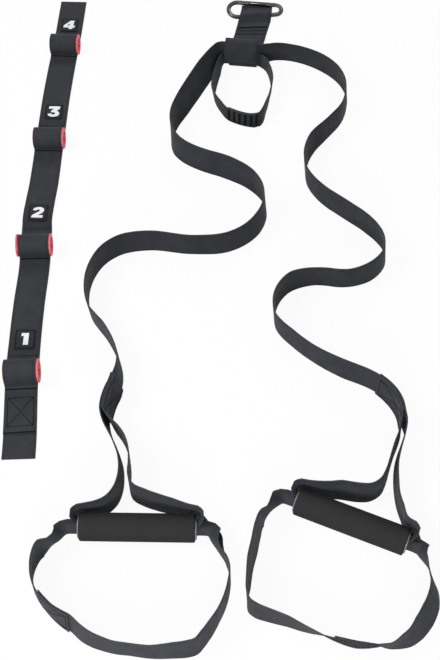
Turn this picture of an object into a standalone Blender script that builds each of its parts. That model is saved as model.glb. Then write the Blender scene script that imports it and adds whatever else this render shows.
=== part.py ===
"""Door resistance trainer: a numbered door strap with four red tubes, and a webbing
trainer with a clip, two foam grips and two foot loops, laid out flat on a floor.
Metres, +Z up. +Y runs from the foot loops to the clip."""

import math

import bmesh
import bpy
from mathutils import Matrix, Vector

MM = 0.001

# Webbing that the straps, handles and foot loops are cut from
WEBBING_WIDTH = 0.040
WEBBING_THICK = 0.0015
ANCHOR_WIDTH = 0.048
LOOP_WIDTH = 0.025
SEAM_GAP = 0.0004
LAYER_STEP = WEBBING_THICK + SEAM_GAP

# Clearances
CONTACT_GAP = 0.0003
RUNNING_GAP = 0.0004

# The point of the floor layout, in its own millimetres, that is the part's origin
LAYOUT_ORIGIN = (-15.3, 107.3)

# Door strap: centre line on the floor, x and y in mm, from its tail to its top end
DOOR_STRAP_ROUTE = [
    (-236, -185), (-237, -160), (-239, -131), (-242, -90), (-244, -45), (-245, 0),
    (-245, 50), (-244, 95), (-245, 130), (-247, 160), (-248, 185), (-247, 212),
    (-245, 245), (-244, 300), (-243, 365), (-242, 415), (-239, 484), (-235, 556),
    (-232, 636),
]
DOOR_LAYER_ENDS = (-152, 633)
DOOR_STEP = 0.030
DOOR_POINT_GAP = 0.010
TUBE_PLACES = (-72, 126, 322, 520)
PATCH_LEADS = (55, 66, 64, 57)

# Red tube that each door strap loop holds
RED_TUBE_LENGTH = 0.046
RED_BODY_RADIUS = 0.013
RED_FLANGE_RADIUS = 0.015
RED_FLANGE_WIDTH = 0.0023
RED_BORE_RADIUS = 0.0095
RED_EDGE = 0.0006
HUMP_FRONT = 0.0175
HUMP_BACK = 0.034
HUMP_LEAD = 0.004
HUMP_START_RISE = 0.0006
HUMP_STEPS = 8

# Number patch
PATCH_WIDTH = 0.026
PATCH_HEIGHT = 0.029
PATCH_THICK = 0.0009
PATCH_EDGE = 0.0003

# Grips: centre in layout mm, and the turn of their axis in degrees
GRIPS = {
    "left": {"centre": (-91.7, -279.0), "turn": -0.9},
    "right": {"centre": (146.5, -271.5), "turn": -22.9},
}
GRIP_TUBE_LENGTH = 0.132
GRIP_TUBE_SHOWS = 0.0015
FOAM_RADIUS = 0.016
FOAM_LENGTH = GRIP_TUBE_LENGTH - 2 * GRIP_TUBE_SHOWS
FOAM_EDGE = 0.0022
GRIP_TUBE_BORE_RADIUS = 0.0115
GRIP_TUBE_WALL = 0.0015
HANDLE_CURL_RADIUS = GRIP_TUBE_BORE_RADIUS - RUNNING_GAP - WEBBING_THICK / 2
FOOT_LOOP_PLAY = 0.0013
FOOT_CURL_RADIUS = HANDLE_CURL_RADIUS - WEBBING_THICK - FOOT_LOOP_PLAY
FOLD_REACH = 0.0092
FOLD_LEAD = 0.010
FOLD_FLARE = 0.0012
LEG_CLEARANCE = 0.001
MOUTH_OUTSIDE = 0.001
MOUTH_INSIDE = 0.006

# How much of its curl a handle strap has round the fold, from beside the foam to the bore
FOLD_SHARES = (0.0, 0.0, 0.06, 0.18, 0.38, 0.62, 0.82)

# Foot loop where it leaves the bore: distance beyond the mouth, outward drift, share of its curl
FOOT_MOUTH = (
    (-MOUTH_INSIDE, 0.0, 1.0), (MOUTH_OUTSIDE, 0.0, 1.0), (0.0080, 0.0, 1.0),
    (0.0128, 0.0004, 0.97), (0.0155, 0.0012, 0.68), (0.0185, 0.0026, 0.36),
)

# Clip: a wire bent round a big and a small bow, with a gate on its upper side
CLIP_WIRE = 0.0068
CLIP_BIG_BOW = 0.0138
CLIP_SMALL_BOW = 0.009
CLIP_BOWS_APART = 0.0597
CLIP_SPINE_START = -0.0280
CLIP_PLACE = (56.5, 597.3)
CLIP_TURN = 5.5
CLIP_RISE = 12.8
GATE_LENGTH = 0.037
GATE_HINGE_INSET = 0.003
GATE_EDGE = 0.0005
FORK_DEPTH = 0.0052
TONGUE_THICK = 0.0022
TONGUE_LENGTH = 0.0060
NOSE_TONGUE = 0.0042
PIN_RADIUS = 0.0011
PIN_INSET = 0.0004
EYE_WALL = 0.0020
CLIP_SEAT_GAP = 0.0006

# Sleeve that joins the anchor strap to the main strap
SLEEVE_LEFT = (8.0, 494.0)
SLEEVE_RIGHT = (56.0, 488.5)
SLEEVE_INNER_THICK = 0.008
SLEEVE_HEADROOM = 0.003
SLEEVE_BOTTOM_CORNER = 0.0022
SLEEVE_OVERRUN = 0.001
SLEEVE_RUN_IN = 0.006
STRAND_PLACE = {"shift": 0.0006, "lift": 0.0004}
LOCKING_PLACE = {"shift": -0.0021, "lift": 0.0004}

# Anchor strap: its plan line in layout mm up to the clip, then how it comes down the
# sleeve's back in mm, as the gap to the back and height over the floor
ANCHOR_PLAN = [(33.5, 497), (40, 527), (47, 556)]
ANCHOR_BEYOND = 0.040
ANCHOR_TURN = 4.0
ANCHOR_BACK = [
    (0.3, 41), (0.3, 30), (1.4, 20), (5.3, 11.5), (12.3, 5.5), (22.3, 1.8), (34, 0.75), (54, 0.75),
]

# Anchor strap round the clip: the loose fold inside the clip, and how far from the spine
# the top layer comes down inside the clip and, on the sleeve's side, on the lower layer
ANCHOR_FOLD_AT = 0.0262
ANCHOR_FOLD_RADIUS = 0.0013
ANCHOR_DIP_AT = 0.009
ANCHOR_DROP_AT = 0.0135
ANCHOR_WRAP_GAP = 0.0005
ANCHOR_WRAP_STEPS = 6
ANCHOR_ROW_TURN = 0.064

# Main strap, standing on edge, from the sleeve to each handle: x and y of its lower edge
# in layout mm, its lean to the left of travel in degrees and, near the sleeve, its lift
# off the floor in mm
LEFT_STRAND = [
    (0.5, 491.3, -7, 1.5), (-3.5, 482, -14, 1.1), (-7, 470, -22, 0.6), (-15, 452, -27),
    (-31, 418, -26), (-47, 385, -22),
    (-63, 352, -11), (-69, 327, 0), (-65, 305, 7), (-52, 289, 8), (-29, 274, 9), (9, 257, 11),
    (42, 236, 5), (59, 214, -3), (63, 188, -7), (52, 157, -8), (30, 136, -4), (9, 126, -2),
    (-34, 123, 1), (-98, 129, -1), (-130, 122, -2), (-150, 107, -2), (-166, 76, -2),
    (-169, 44, -3), (-160, 12, -6), (-143, -13, -3), (-130, -37, -3), (-121, -61, -5),
    (-119, -78, -9), (-120, -90, -12), (-122, -101, -13), (-126, -112, -13), (-129, -124, -13),
    (-130, -137, -13),
]
RIGHT_STRAND = [
    (70, 495, -6, 1.1), (83, 500, -9, 0.5), (107, 499, -11), (131, 490, -10),
    (155, 474, -8), (177, 449, -8),
    (187, 419, -8), (185, 398, -5), (176, 368, -3), (154, 336, -4), (132, 305, -9),
    (121, 275, -7), (122, 244, -5), (138, 214, -2), (168, 185, -1), (198, 157, -2),
    (217, 129, -7), (216, 102, -6), (196, 78, -4), (165, 68, 2), (123, 71, 3), (91, 60, -4),
    (72, 32, -5), (72, -1, -5), (90, -25, -3), (116, -49, -3), (152, -73, 1), (178, -85, 0),
    (190, -93, 0), (200, -104, 1), (208, -116, 1), (213, -128, 0), (214.5, -141, 0),
]
SEWN_POINTS = 5

# Handle strap legs, from the main strap to each end of the grip
HANDLE_LEGS = {
    "left": {
        "first": [
            (-128, -156, -10), (-122, -170, -8), (-117, -183, -7), (-113, -196, -6), (-111, -212, -5),
            (-112, -229, -5), (-117, -244, -5), (-128, -255, -3),
        ],
        "second": [
            (-122, -151, -6), (-115, -161, -4), (-109, -173, -2), (-105, -190, 0), (-103, -208, -1),
            (-103, -224, -1), (-99, -237, 2), (-85, -246, 4), (-68, -252, 3), (-52, -256, 1),
        ],
    },
    "right": {
        "first": [
            (213, -155, -4), (208, -170, -3), (202, -184, -3), (195, -204, -3), (190, -219, -4),
            (183, -232, -5), (172, -239, -5), (155, -240, -6), (137, -237, -6), (122, -236, -3),
        ],
        "second": [
            (219, -154, -3), (215, -165, 0), (209, -178, 3), (204, -193, 3), (201, -210, 1),
            (200, -230, 0), (201, -247, -2), (204, -262, -2),
        ],
    },
}

# Foot loops, from the sewn overlap round to the grip's second end, and from its first
# end back to the overlap
FOOT_LOOPS = {
    "left": {
        "sewn": [(-156, -395, 7), (-146, -403, 6), (-135, -409, 4), (-123, -413, 2), (-111, -416, 0)],
        "out": [
            (-94, -418, -1), (-72, -421, 0), (-50, -421, 4), (-34, -420, 6), (-24, -417, 6),
            (-16, -408, 6), (-8, -396, 5), (-1, -382, 2), (6, -366, 2), (10, -350, 2), (11, -334, -1),
            (8, -319, -4), (1, -304, -2), (-6, -295, 2),
        ],
        "back": [
            (-183, -295, -4), (-195, -307, -5), (-203, -321, 0), (-205, -334, 3), (-201, -348, 1),
            (-190, -364, -1), (-177, -379, 0), (-167, -387, 4),
        ],
    },
    "right": {
        "sewn": [(50, -381, 0), (61, -384, -2), (73, -387, -5), (85, -391, -9), (97, -394, -14)],
        "out": [
            (109, -396, -20), (126, -399, -26), (143, -403, -28), (160, -406, -23), (176, -410, -12),
            (188, -411, 2), (201, -409, 13), (214, -401, 22), (227, -386, 26), (236, -367, 25),
            (237, -349, 20), (232, -330, 9), (223, -314, 1),
        ],
        "back": [
            (63, -256, -4), (52, -268, -8), (46, -285, -10), (41, -304, -10), (36, -323, -9),
            (33, -343, -7), (30, -360, -3), (31, -371, 1), (38, -377, 2),
        ],
    },
}

# Locking loop: a narrow band through the sleeve
LOCKING_SEWN = [(12, 374, -2), (21, 368, 0), (32, 363, 0), (42, 360, 1), (51, 358.5, 6)]
LOCKING_OUT = [
    (58, 361, 9), (63, 370, 7), (66, 385, 1), (70, 402, -3), (73, 418, -4), (76, 435, -4),
    (76, 452, -3), (74.5, 467, -1, 0.6), (71, 478, -1, 1.1), (65, 483.5, 0, 1.5),
]
LOCKING_BACK = [
    (3.6, 486.5, -3, 1.5), (2, 478, -8, 1.1), (0.5, 467, -13, 0.6), (-3, 452, -13),
    (-6, 435, -13), (-8, 418, -10), (-4, 401, -5), (3, 386, -2),
]

# Spacing of the points read along the bands
BAND_STEP = 0.014
LOFT_STEP = 0.012
LOOP_STEP = 0.010
ANCHOR_STEP = 0.004

FLAT = math.radians(90)
LEAST_CURL = 0.03

COLOURS = {
    "black webbing": ((0.028, 0.030, 0.034), 0.75, 0.0),
    "black patch": ((0.012, 0.012, 0.013), 0.7, 0.0),
    "red plastic": ((0.78, 0.035, 0.06), 0.35, 0.0),
    "black foam": ((0.022, 0.022, 0.024), 0.95, 0.0),
    "grey plastic": ((0.35, 0.36, 0.38), 0.45, 0.0),
    "gunmetal": ((0.10, 0.10, 0.11), 0.3, 0.95),
}


def clear_scene():
    for obj in list(bpy.data.objects):
        bpy.data.objects.remove(obj, do_unlink=True)


def make_collection(name):
    collection = bpy.data.collections.new(name)
    bpy.context.scene.collection.children.link(collection)
    return collection


def finish(obj, material, collection):
    """Give an object its own material and put it in its collection."""
    colour, roughness, metallic = COLOURS[material]
    mat = bpy.data.materials.new(f"{obj.name} {material}")
    mat.use_nodes = True
    shader = mat.node_tree.nodes["Principled BSDF"]
    shader.inputs["Base Color"].default_value = (*colour, 1.0)
    shader.inputs["Roughness"].default_value = roughness
    shader.inputs["Metallic"].default_value = metallic
    obj.data.materials.clear()
    obj.data.materials.append(mat)
    for owner in list(obj.users_collection):
        owner.objects.unlink(obj)
    collection.objects.link(obj)


def layout(x, y):
    """Turn a layout point in mm into metres from the part's origin."""
    return ((x - LAYOUT_ORIGIN[0]) * MM, (y - LAYOUT_ORIGIN[1]) * MM)


def left_of(heading):
    return Vector((-heading.y, heading.x, 0.0)).normalized()


def headings(points):
    """Direction of travel at each point, halfway between the runs that meet there."""
    runs = [(b - a).normalized() for a, b in zip(points, points[1:])]
    runs = [runs[0]] + runs + [runs[-1]]
    return [(a + b).normalized() for a, b in zip(runs, runs[1:])]


def standing(route, width):
    """Stations at mid width of a band that stands on its lower edge."""
    feet = [Vector((*layout(*point[:2]), 0.0)) for point in route]
    stations = []
    for foot, heading, (_, _, degrees, *lift) in zip(feet, headings(feet), route):
        lean = math.radians(degrees)
        middle = foot + left_of(heading) * math.sin(lean) * width / 2
        height = CONTACT_GAP + width / 2 * math.cos(lean) + WEBBING_THICK / 2 * abs(math.sin(lean))
        height += sum(lift) * MM
        stations.append((middle.x, middle.y, height, lean, 0.0))
    return stations


def backwards(stations):
    return [(x, y, z, -lean, curl) for x, y, z, lean, curl in reversed(stations)]


def place(station):
    return Vector(station[:3])


def smooth(stations, step=BAND_STEP):
    """Read a smooth curve through the stations, keeping each of them."""
    spans = [(place(b) - place(a)).length for a, b in zip(stations, stations[1:])]
    slopes = [(place(b) - place(a)) / span for a, b, span in zip(stations, stations[1:], spans)]
    bends = [slopes[0]]
    for i in range(1, len(spans)):
        before, after = spans[i - 1], spans[i]
        bends.append((slopes[i - 1] * after + slopes[i] * before) / (before + after))
    bends.append(slopes[-1])
    samples = []
    for i, span in enumerate(spans):
        cuts = max(1, round(span / step))
        start, end = stations[i], stations[i + 1]
        for k in range(cuts):
            f = k / cuts
            point = (
                place(start) * (2 * f**3 - 3 * f**2 + 1) + bends[i] * span * (f**3 - 2 * f**2 + f)
                + place(end) * (3 * f**2 - 2 * f**3) + bends[i + 1] * span * (f**3 - f**2)
            )
            lean = start[3] + (end[3] - start[3]) * f
            curl = start[4] + (end[4] - start[4]) * f
            samples.append((*point, lean, curl))
    samples.append(stations[-1])
    return samples


def beside(stations, distance):
    """The same stations moved to the left of travel, so that the runs stay parallel."""
    points = [place(station) for station in stations]
    flat = [Vector((p.x, p.y, 0.0)) for p in points]
    moved = []
    for i, (station, heading) in enumerate(zip(stations, headings(flat))):
        near = max(i, 1)
        run = (flat[near] - flat[near - 1]).normalized()
        stretch = 1.0 / heading.dot(run)
        point = points[i] + left_of(heading) * distance * stretch
        moved.append((*point, station[3], station[4]))
    return moved


def thicken(obj, thickness):
    solid = obj.modifiers.new("Webbing", "SOLIDIFY")
    solid.thickness = thickness
    solid.offset = 0.0
    solid.use_even_offset = True


def curve_band(name, stations, width, material, collection, thickness=WEBBING_THICK):
    """A flat band along a curve, which stands on edge where its tilt is 0."""
    curve = bpy.data.curves.new(name, "CURVE")
    curve.dimensions = "3D"
    curve.twist_mode = "Z_UP"
    curve.extrude = width / 2
    spline = curve.splines.new("POLY")
    spline.points.add(len(stations) - 1)
    for point, (x, y, z, lean, _) in zip(spline.points, stations):
        point.co = (x, y, z, 1.0)
        point.tilt = -lean
    obj = bpy.data.objects.new(name, curve)
    thicken(obj, thickness)
    finish(obj, material, collection)
    return obj


def loft_band(name, rows, material, collection, thickness=WEBBING_THICK):
    """A band whose section changes along it, as a sheet through rows of points."""
    mesh = bmesh.new()
    grid = [[mesh.verts.new(point) for point in row] for row in rows]
    for near, far in zip(grid, grid[1:]):
        for k in range(len(near) - 1):
            mesh.faces.new((near[k], far[k], far[k + 1], near[k + 1]))
    data = bpy.data.meshes.new(name)
    mesh.to_mesh(data)
    mesh.free()
    obj = bpy.data.objects.new(name, data)
    thicken(obj, thickness)
    finish(obj, material, collection)
    return obj


def curled_rows(stations, width, across=7):
    """Rows of points across a band that curls to the right of travel."""
    rows = []
    points = [place(station) for station in stations]
    for point, heading, (_, _, _, lean, curl) in zip(points, headings(points), stations):
        rise = left_of(heading) * math.sin(lean) + Vector((0, 0, 1)) * math.cos(lean)
        inward = heading.cross(rise).normalized()
        row = []
        for k in range(across):
            share = k / (across - 1) - 0.5
            if curl < LEAST_CURL:
                row.append(point + rise * width * share)
            else:
                radius = width / curl
                angle = curl * share
                row.append(point + rise * radius * math.sin(angle) + inward * radius * (1 - math.cos(angle)))
        rows.append(row)
    return rows


def door_line():
    """Stations along the door strap's centre line, lying flat on the floor."""
    points = [(*layout(x, y), WEBBING_THICK / 2, FLAT, 0.0) for x, y in DOOR_STRAP_ROUTE]
    return smooth(points, DOOR_STEP)


def door_place(line, y):
    """Where the door strap's line crosses a height y, and its direction there."""
    for a, b in zip(line, line[1:]):
        if a[1] <= y <= b[1]:
            f = (y - a[1]) / (b[1] - a[1])
            heading = (place(b) - place(a)).normalized()
            return a[0] + (b[0] - a[0]) * f, heading
    raise ValueError("outside the door strap")


def hump_profile():
    """Distance and height of the top layer as it passes over a tube, front to back."""
    centre = RED_FLANGE_RADIUS + CONTACT_GAP
    rest = LAYER_STEP + WEBBING_THICK / 2
    radius = RED_BODY_RADIUS + RUNNING_GAP + WEBBING_THICK / 2
    drop = centre - rest
    profile = []
    for foot, side in ((HUMP_FRONT, -1), (HUMP_BACK, 1)):
        reach = math.hypot(foot, drop)
        touch = math.acos(radius / reach) - math.atan2(drop, foot)
        edge = [(side * (foot + HUMP_LEAD), rest), (side * foot, rest + HUMP_START_RISE)]
        edge.append((side * radius * math.cos(touch), centre + radius * math.sin(touch)))
        profile.append((edge, touch))
    (front, front_touch), (back, back_touch) = profile
    start, end = math.pi - front_touch, back_touch
    crown = []
    for k in range(1, HUMP_STEPS):
        angle = start + (end - start) * k / HUMP_STEPS
        crown.append((radius * math.cos(angle), centre + radius * math.sin(angle)))
    return front + crown + list(reversed(back))


def door_strap(collection):
    line = door_line()
    curve_band("door_strap_base", line, WEBBING_WIDTH, "black webbing", collection)
    rest = LAYER_STEP + WEBBING_THICK / 2
    low, high = [layout(0, y)[1] for y in DOOR_LAYER_ENDS]
    tubes = [layout(0, y)[1] for y in TUBE_PLACES]
    profile = hump_profile()
    spans = [(t + profile[0][0], t + profile[-1][0]) for t in tubes]
    stations = [(door_place(line, y)[0], y, rest, FLAT, 0.0) for y in (low, high)]
    gap = DOOR_POINT_GAP
    for x, y, *_ in line:
        between = low + gap < y < high - gap
        if between and all(y < front - gap or y > back + gap for front, back in spans):
            stations.append((x, y, rest, FLAT, 0.0))
    for tube in tubes:
        x, heading = door_place(line, tube)
        for along, height in profile:
            stations.append((x + heading.x * along, tube + heading.y * along, height, FLAT, 0.0))
    stations.sort(key=lambda station: station[1])
    curve_band("door_strap_loops", stations, WEBBING_WIDTH, "black webbing", collection)
    return line


def red_tube_profile():
    """Half section from the bore's top round the outside, top to bottom."""
    half = RED_TUBE_LENGTH / 2
    inner = half - RED_FLANGE_WIDTH
    outer = [
        (RED_FLANGE_RADIUS - RED_EDGE, half), (RED_FLANGE_RADIUS, half - RED_EDGE),
        (RED_FLANGE_RADIUS, inner), (RED_BODY_RADIUS, inner),
    ]
    mirrored = [(radius, -height) for radius, height in reversed(outer)]
    bore = [(RED_BORE_RADIUS + RED_EDGE, half), (RED_BORE_RADIUS, half - RED_EDGE)]
    lower = [(radius, -height) for radius, height in reversed(bore)]
    return [bore[0]] + outer + mirrored + [lower[1], lower[0], bore[1], bore[0]]


def turned(name, profile, steps, material, collection):
    """A half section, closed or with both ends on the axis, turned round local Z."""
    mesh = bmesh.new()
    closed = profile[0] == profile[-1]
    points = profile[:-1] if closed else profile
    verts = [mesh.verts.new((radius, 0.0, height)) for radius, height in points]
    for a, b in zip(verts, verts[1:]):
        mesh.edges.new((a, b))
    if closed:
        mesh.edges.new((verts[-1], verts[0]))
    data = bpy.data.meshes.new(name)
    mesh.to_mesh(data)
    mesh.free()
    obj = bpy.data.objects.new(name, data)
    screw = obj.modifiers.new("Turn", "SCREW")
    screw.steps = steps
    screw.render_steps = steps
    screw.use_merge_vertices = True
    screw.merge_threshold = 0.00001
    screw.use_normal_calculate = True
    finish(obj, material, collection)
    return obj


def axis_matrix(point, along):
    """A frame at the point whose Z runs along a level direction and whose X is up."""
    along = along.normalized()
    up = Vector((0, 0, 1))
    side = along.cross(up)
    return Matrix.Translation(point) @ Matrix((up, side, along)).transposed().to_4x4()


def red_tubes(line, collection):
    for number, y in enumerate(TUBE_PLACES, start=1):
        level = layout(0, y)[1]
        x, heading = door_place(line, level)
        obj = turned(f"red_tube_{number}", red_tube_profile(), 32, "red plastic", collection)
        centre = Vector((x, level, RED_FLANGE_RADIUS + CONTACT_GAP))
        obj.matrix_world = axis_matrix(centre, -left_of(heading))


def number_patches(line, collection):
    for number, (y, lead) in enumerate(zip(TUBE_PLACES, PATCH_LEADS), start=1):
        level = layout(0, y + lead)[1]
        x, heading = door_place(line, level)
        bpy.ops.mesh.primitive_cube_add(size=1)
        obj = bpy.context.object
        obj.name = f"number_patch_{number}"
        obj.data.transform(Matrix.Diagonal((PATCH_WIDTH, PATCH_HEIGHT, PATCH_THICK, 1)))
        height = LAYER_STEP + WEBBING_THICK + CONTACT_GAP + PATCH_THICK / 2
        turn = math.atan2(heading.y, heading.x) - math.pi / 2
        obj.matrix_world = Matrix.Translation((x, level, height)) @ Matrix.Rotation(turn, 4, "Z")
        edge = obj.modifiers.new("Corners", "BEVEL")
        edge.affect = "EDGES"
        edge.width = PATCH_EDGE
        edge.segments = 1
        finish(obj, "black patch", collection)


def grip_frame(side):
    """Matrix of a grip: X along its axis, Y away from its foot loop."""
    grip = GRIPS[side]
    centre = Vector((*layout(*grip["centre"]), FOAM_RADIUS))
    return Matrix.Translation(centre) @ Matrix.Rotation(math.radians(grip["turn"]), 4, "Z")


def grip_station(frame, along, across, height, curl):
    point = frame @ Vector((along, across, 0.0))
    return (point.x, point.y, height, 0.0, curl)


def grip_tube_profile():
    """Half section of the plastic tube, round from its outer end edge back to it."""
    bore = GRIP_TUBE_BORE_RADIUS
    outside = bore + GRIP_TUBE_WALL
    half = GRIP_TUBE_LENGTH / 2
    edge = GRIP_TUBE_WALL / 3
    return [
        (bore + edge, half), (outside - edge, half), (outside, half - edge), (outside, -half + edge),
        (outside - edge, -half), (bore + edge, -half), (bore, -half + edge), (bore, half - edge),
        (bore + edge, half),
    ]


def foam_profile():
    """Half section of the foam, with round outer edges."""
    half = FOAM_LENGTH / 2
    upper = [(GRIP_TUBE_BORE_RADIUS + GRIP_TUBE_WALL + CONTACT_GAP, half)]
    for k in range(4):
        angle = math.pi / 2 * k / 3
        radius = FOAM_RADIUS - FOAM_EDGE * (1 - math.sin(angle))
        upper.append((radius, half - FOAM_EDGE * (1 - math.cos(angle))))
    lower = [(radius, -height) for radius, height in reversed(upper)]
    return upper + lower + [upper[0]]


def grip(side, collection):
    turn = grip_frame(side) @ Matrix.Rotation(math.pi / 2, 4, "Y")
    tube = turned(f"grip_tube_{side}", grip_tube_profile(), 36, "grey plastic", collection)
    foam = turned(f"grip_foam_{side}", foam_profile(), 36, "black foam", collection)
    for obj in (tube, foam):
        obj.matrix_world = turn


def fold_stations(frame, end):
    """A leg's tight turn round one end of the grip, from beside the foam into the bore."""
    leg_offset = FOAM_RADIUS + LEG_CLEARANCE + WEBBING_THICK / 2
    radius = (leg_offset - HANDLE_CURL_RADIUS) / 2
    middle = (leg_offset + HANDLE_CURL_RADIUS) / 2
    start = GRIP_TUBE_LENGTH / 2 + FOLD_REACH - radius
    full = WEBBING_WIDTH / HANDLE_CURL_RADIUS
    height = CONTACT_GAP + WEBBING_WIDTH / 2
    drop = height - FOAM_RADIUS
    lead = end * (start - FOLD_LEAD)
    stations = [grip_station(frame, lead, leg_offset + FOLD_FLARE, height, 0.0)]
    for k, share in enumerate(FOLD_SHARES):
        angle = math.pi * k / (len(FOLD_SHARES) - 1)
        along = start + radius * math.sin(angle)
        across = middle + radius * math.cos(angle)
        stations.append(grip_station(frame, end * along, across, height - drop * share**2, full * share))
    mouth = GRIP_TUBE_LENGTH / 2
    for along in (mouth + MOUTH_OUTSIDE, mouth - MOUTH_INSIDE):
        stations.append(grip_station(frame, end * along, HANDLE_CURL_RADIUS, FOAM_RADIUS, full))
    return stations


def handle_strap(side, sewn, collection):
    """One webbing from the main strap, through the grip's bore and back."""
    frame = grip_frame(side)
    legs = HANDLE_LEGS[side]
    first = standing(legs["first"], WEBBING_WIDTH)
    second = standing(legs["second"], WEBBING_WIDTH)
    stations = beside(sewn, -LAYER_STEP) + first + fold_stations(frame, -1)
    stations += [
        (x, y, z, lean, curl) for x, y, z, lean, curl in reversed(fold_stations(frame, 1))
    ]
    stations += backwards(second) + backwards(beside(sewn, LAYER_STEP))
    rows = curled_rows(smooth(stations, LOFT_STEP), WEBBING_WIDTH)
    loft_band(f"handle_strap_{side}", rows[1:-1], "black webbing", collection)


def mouth_stations(frame, end):
    """The foot loop's run out of one end of the bore, opening as it goes."""
    full = WEBBING_WIDTH / FOOT_CURL_RADIUS
    mouth = GRIP_TUBE_LENGTH / 2
    rise = WEBBING_WIDTH / 2 - FOAM_RADIUS
    stations = []
    for beyond, outward, share in FOOT_MOUTH:
        across = -FOOT_CURL_RADIUS - outward
        height = FOAM_RADIUS + rise * (1 - share)
        stations.append(grip_station(frame, end * (mouth + beyond), across, height, full * share))
    return stations


def foot_loop(side, collection):
    frame = grip_frame(side)
    route = FOOT_LOOPS[side]
    sewn = standing(route["sewn"], WEBBING_WIDTH)
    out = standing(route["out"], WEBBING_WIDTH)
    back = standing(route["back"], WEBBING_WIDTH)
    stations = beside(sewn, LAYER_STEP / 2) + out
    stations += list(reversed(mouth_stations(frame, 1))) + mouth_stations(frame, -1)
    stations += back + beside(sewn, -LAYER_STEP / 2)
    rows = curled_rows(smooth(stations, LOFT_STEP), WEBBING_WIDTH)
    loop = loft_band(f"foot_loop_{side}", rows, "black webbing", collection)
    pivot = bpy.data.objects.new(f"foot_loop_{side}_pivot", None)
    collection.objects.link(pivot)
    pivot.matrix_world = frame
    loop.parent = pivot
    loop.matrix_parent_inverse = frame.inverted()


def sleeve_frame():
    """Matrix at the sleeve's middle on the floor: X along the main strap, Y to its back."""
    left = Vector((*layout(*SLEEVE_LEFT), 0.0))
    right = Vector((*layout(*SLEEVE_RIGHT), 0.0))
    run = (right - left).normalized()
    matrix = Matrix((run, left_of(run), Vector((0, 0, 1)))).transposed().to_4x4()
    return Matrix.Translation((left + right) / 2) @ matrix


def sleeve_half():
    return (Vector(SLEEVE_RIGHT) - Vector(SLEEVE_LEFT)).length / 2 * MM


def sleeve_pass(shift, lift, width):
    """Stations of a band that runs straight through the sleeve, left to right."""
    frame = sleeve_frame()
    height = CONTACT_GAP + WEBBING_THICK + lift + width / 2
    mouth = sleeve_half() + SLEEVE_OVERRUN
    inside = mouth - SLEEVE_RUN_IN
    stations = []
    for along in (-mouth, -inside, inside, mouth):
        point = frame @ Vector((along, shift, 0.0))
        stations.append((point.x, point.y, height, 0.0, 0.0))
    return stations


def main_strap(collection):
    """The long strap from one handle through the sleeve to the other."""
    left = backwards(standing(LEFT_STRAND, WEBBING_WIDTH))
    right = standing(RIGHT_STRAND, WEBBING_WIDTH)
    samples = smooth(left + sleeve_pass(**STRAND_PLACE, width=WEBBING_WIDTH) + right)
    curve_band("main_strap", samples, WEBBING_WIDTH, "black webbing", collection)
    return backwards(samples[:SEWN_POINTS + 1]), samples[-SEWN_POINTS - 1:]


def locking_loop(collection):
    sewn = standing(LOCKING_SEWN, LOOP_WIDTH)
    out = standing(LOCKING_OUT, LOOP_WIDTH)
    back = standing(LOCKING_BACK, LOOP_WIDTH)
    stations = beside(sewn, LAYER_STEP / 2) + out
    stations += backwards(sleeve_pass(**LOCKING_PLACE, width=LOOP_WIDTH))
    stations += back + beside(sewn, -LAYER_STEP / 2)
    curve_band("locking_loop", smooth(stations, LOOP_STEP), LOOP_WIDTH, "black webbing", collection)


def anchor_sleeve(collection):
    """A closed band that wraps the main strap and the locking loop."""
    inner_height = WEBBING_WIDTH + SLEEVE_HEADROOM
    radius = (SLEEVE_INNER_THICK + WEBBING_THICK) / 2
    height = inner_height + WEBBING_THICK
    curve = bpy.data.curves.new("anchor_sleeve", "CURVE")
    curve.dimensions = "2D"
    curve.fill_mode = "NONE"
    curve.extrude = sleeve_half()
    outline = []
    for k in range(7):
        angle = math.pi * k / 6
        outline.append((radius * math.cos(angle), height - radius + radius * math.sin(angle)))
    corner = SLEEVE_BOTTOM_CORNER
    for side, start in ((-1, math.pi), (1, 1.5 * math.pi)):
        for k in range(4):
            angle = start + math.pi / 2 * k / 3
            across = side * (radius - corner) + corner * math.cos(angle)
            outline.append((across, corner + corner * math.sin(angle)))
    spline = curve.splines.new("POLY")
    spline.points.add(len(outline) - 1)
    spline.use_cyclic_u = True
    for point, (across, up) in zip(spline.points, outline):
        point.co = (across, up + CONTACT_GAP + WEBBING_THICK / 2, 0.0, 1.0)
    obj = bpy.data.objects.new("anchor_sleeve", curve)
    thicken(obj, WEBBING_THICK)
    finish(obj, "black webbing", collection)
    stand = Matrix(((0, 0, 1, 0), (1, 0, 0, 0), (0, 1, 0, 0), (0, 0, 0, 1)))
    obj.matrix_world = sleeve_frame() @ stand


def fold_end():
    """The strap's turn inside the clip, as distance from the spine and height."""
    low = WEBBING_THICK / 2
    turn = []
    for k in range(5):
        angle = math.pi / 4 * k - math.pi / 2
        across = ANCHOR_FOLD_RADIUS * math.cos(angle)
        turn.append(Vector((ANCHOR_FOLD_AT + across, low + ANCHOR_FOLD_RADIUS * (1 + math.sin(angle)))))
    return turn


def over_spine(far, near):
    """The shortest way over the spine between two points beside it."""
    spine = Vector((0.0, clip_height()))
    radius = CLIP_WIRE / 2 + WEBBING_THICK / 2 + ANCHOR_WRAP_GAP
    touches = []
    for point, side in ((far, 1), (near, -1)):
        gap = point - spine
        bearing = math.atan2(gap.y, gap.x) % math.tau
        if side > 0 and bearing > math.pi:
            bearing -= math.tau
        touches.append(bearing + side * math.acos(radius / gap.length))
    start, end = touches
    crown = []
    for k in range(ANCHOR_WRAP_STEPS + 1):
        angle = start + (end - start) * k / ANCHOR_WRAP_STEPS
        crown.append(spine + Vector((math.cos(angle), math.sin(angle))) * radius)
    return crown


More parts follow.
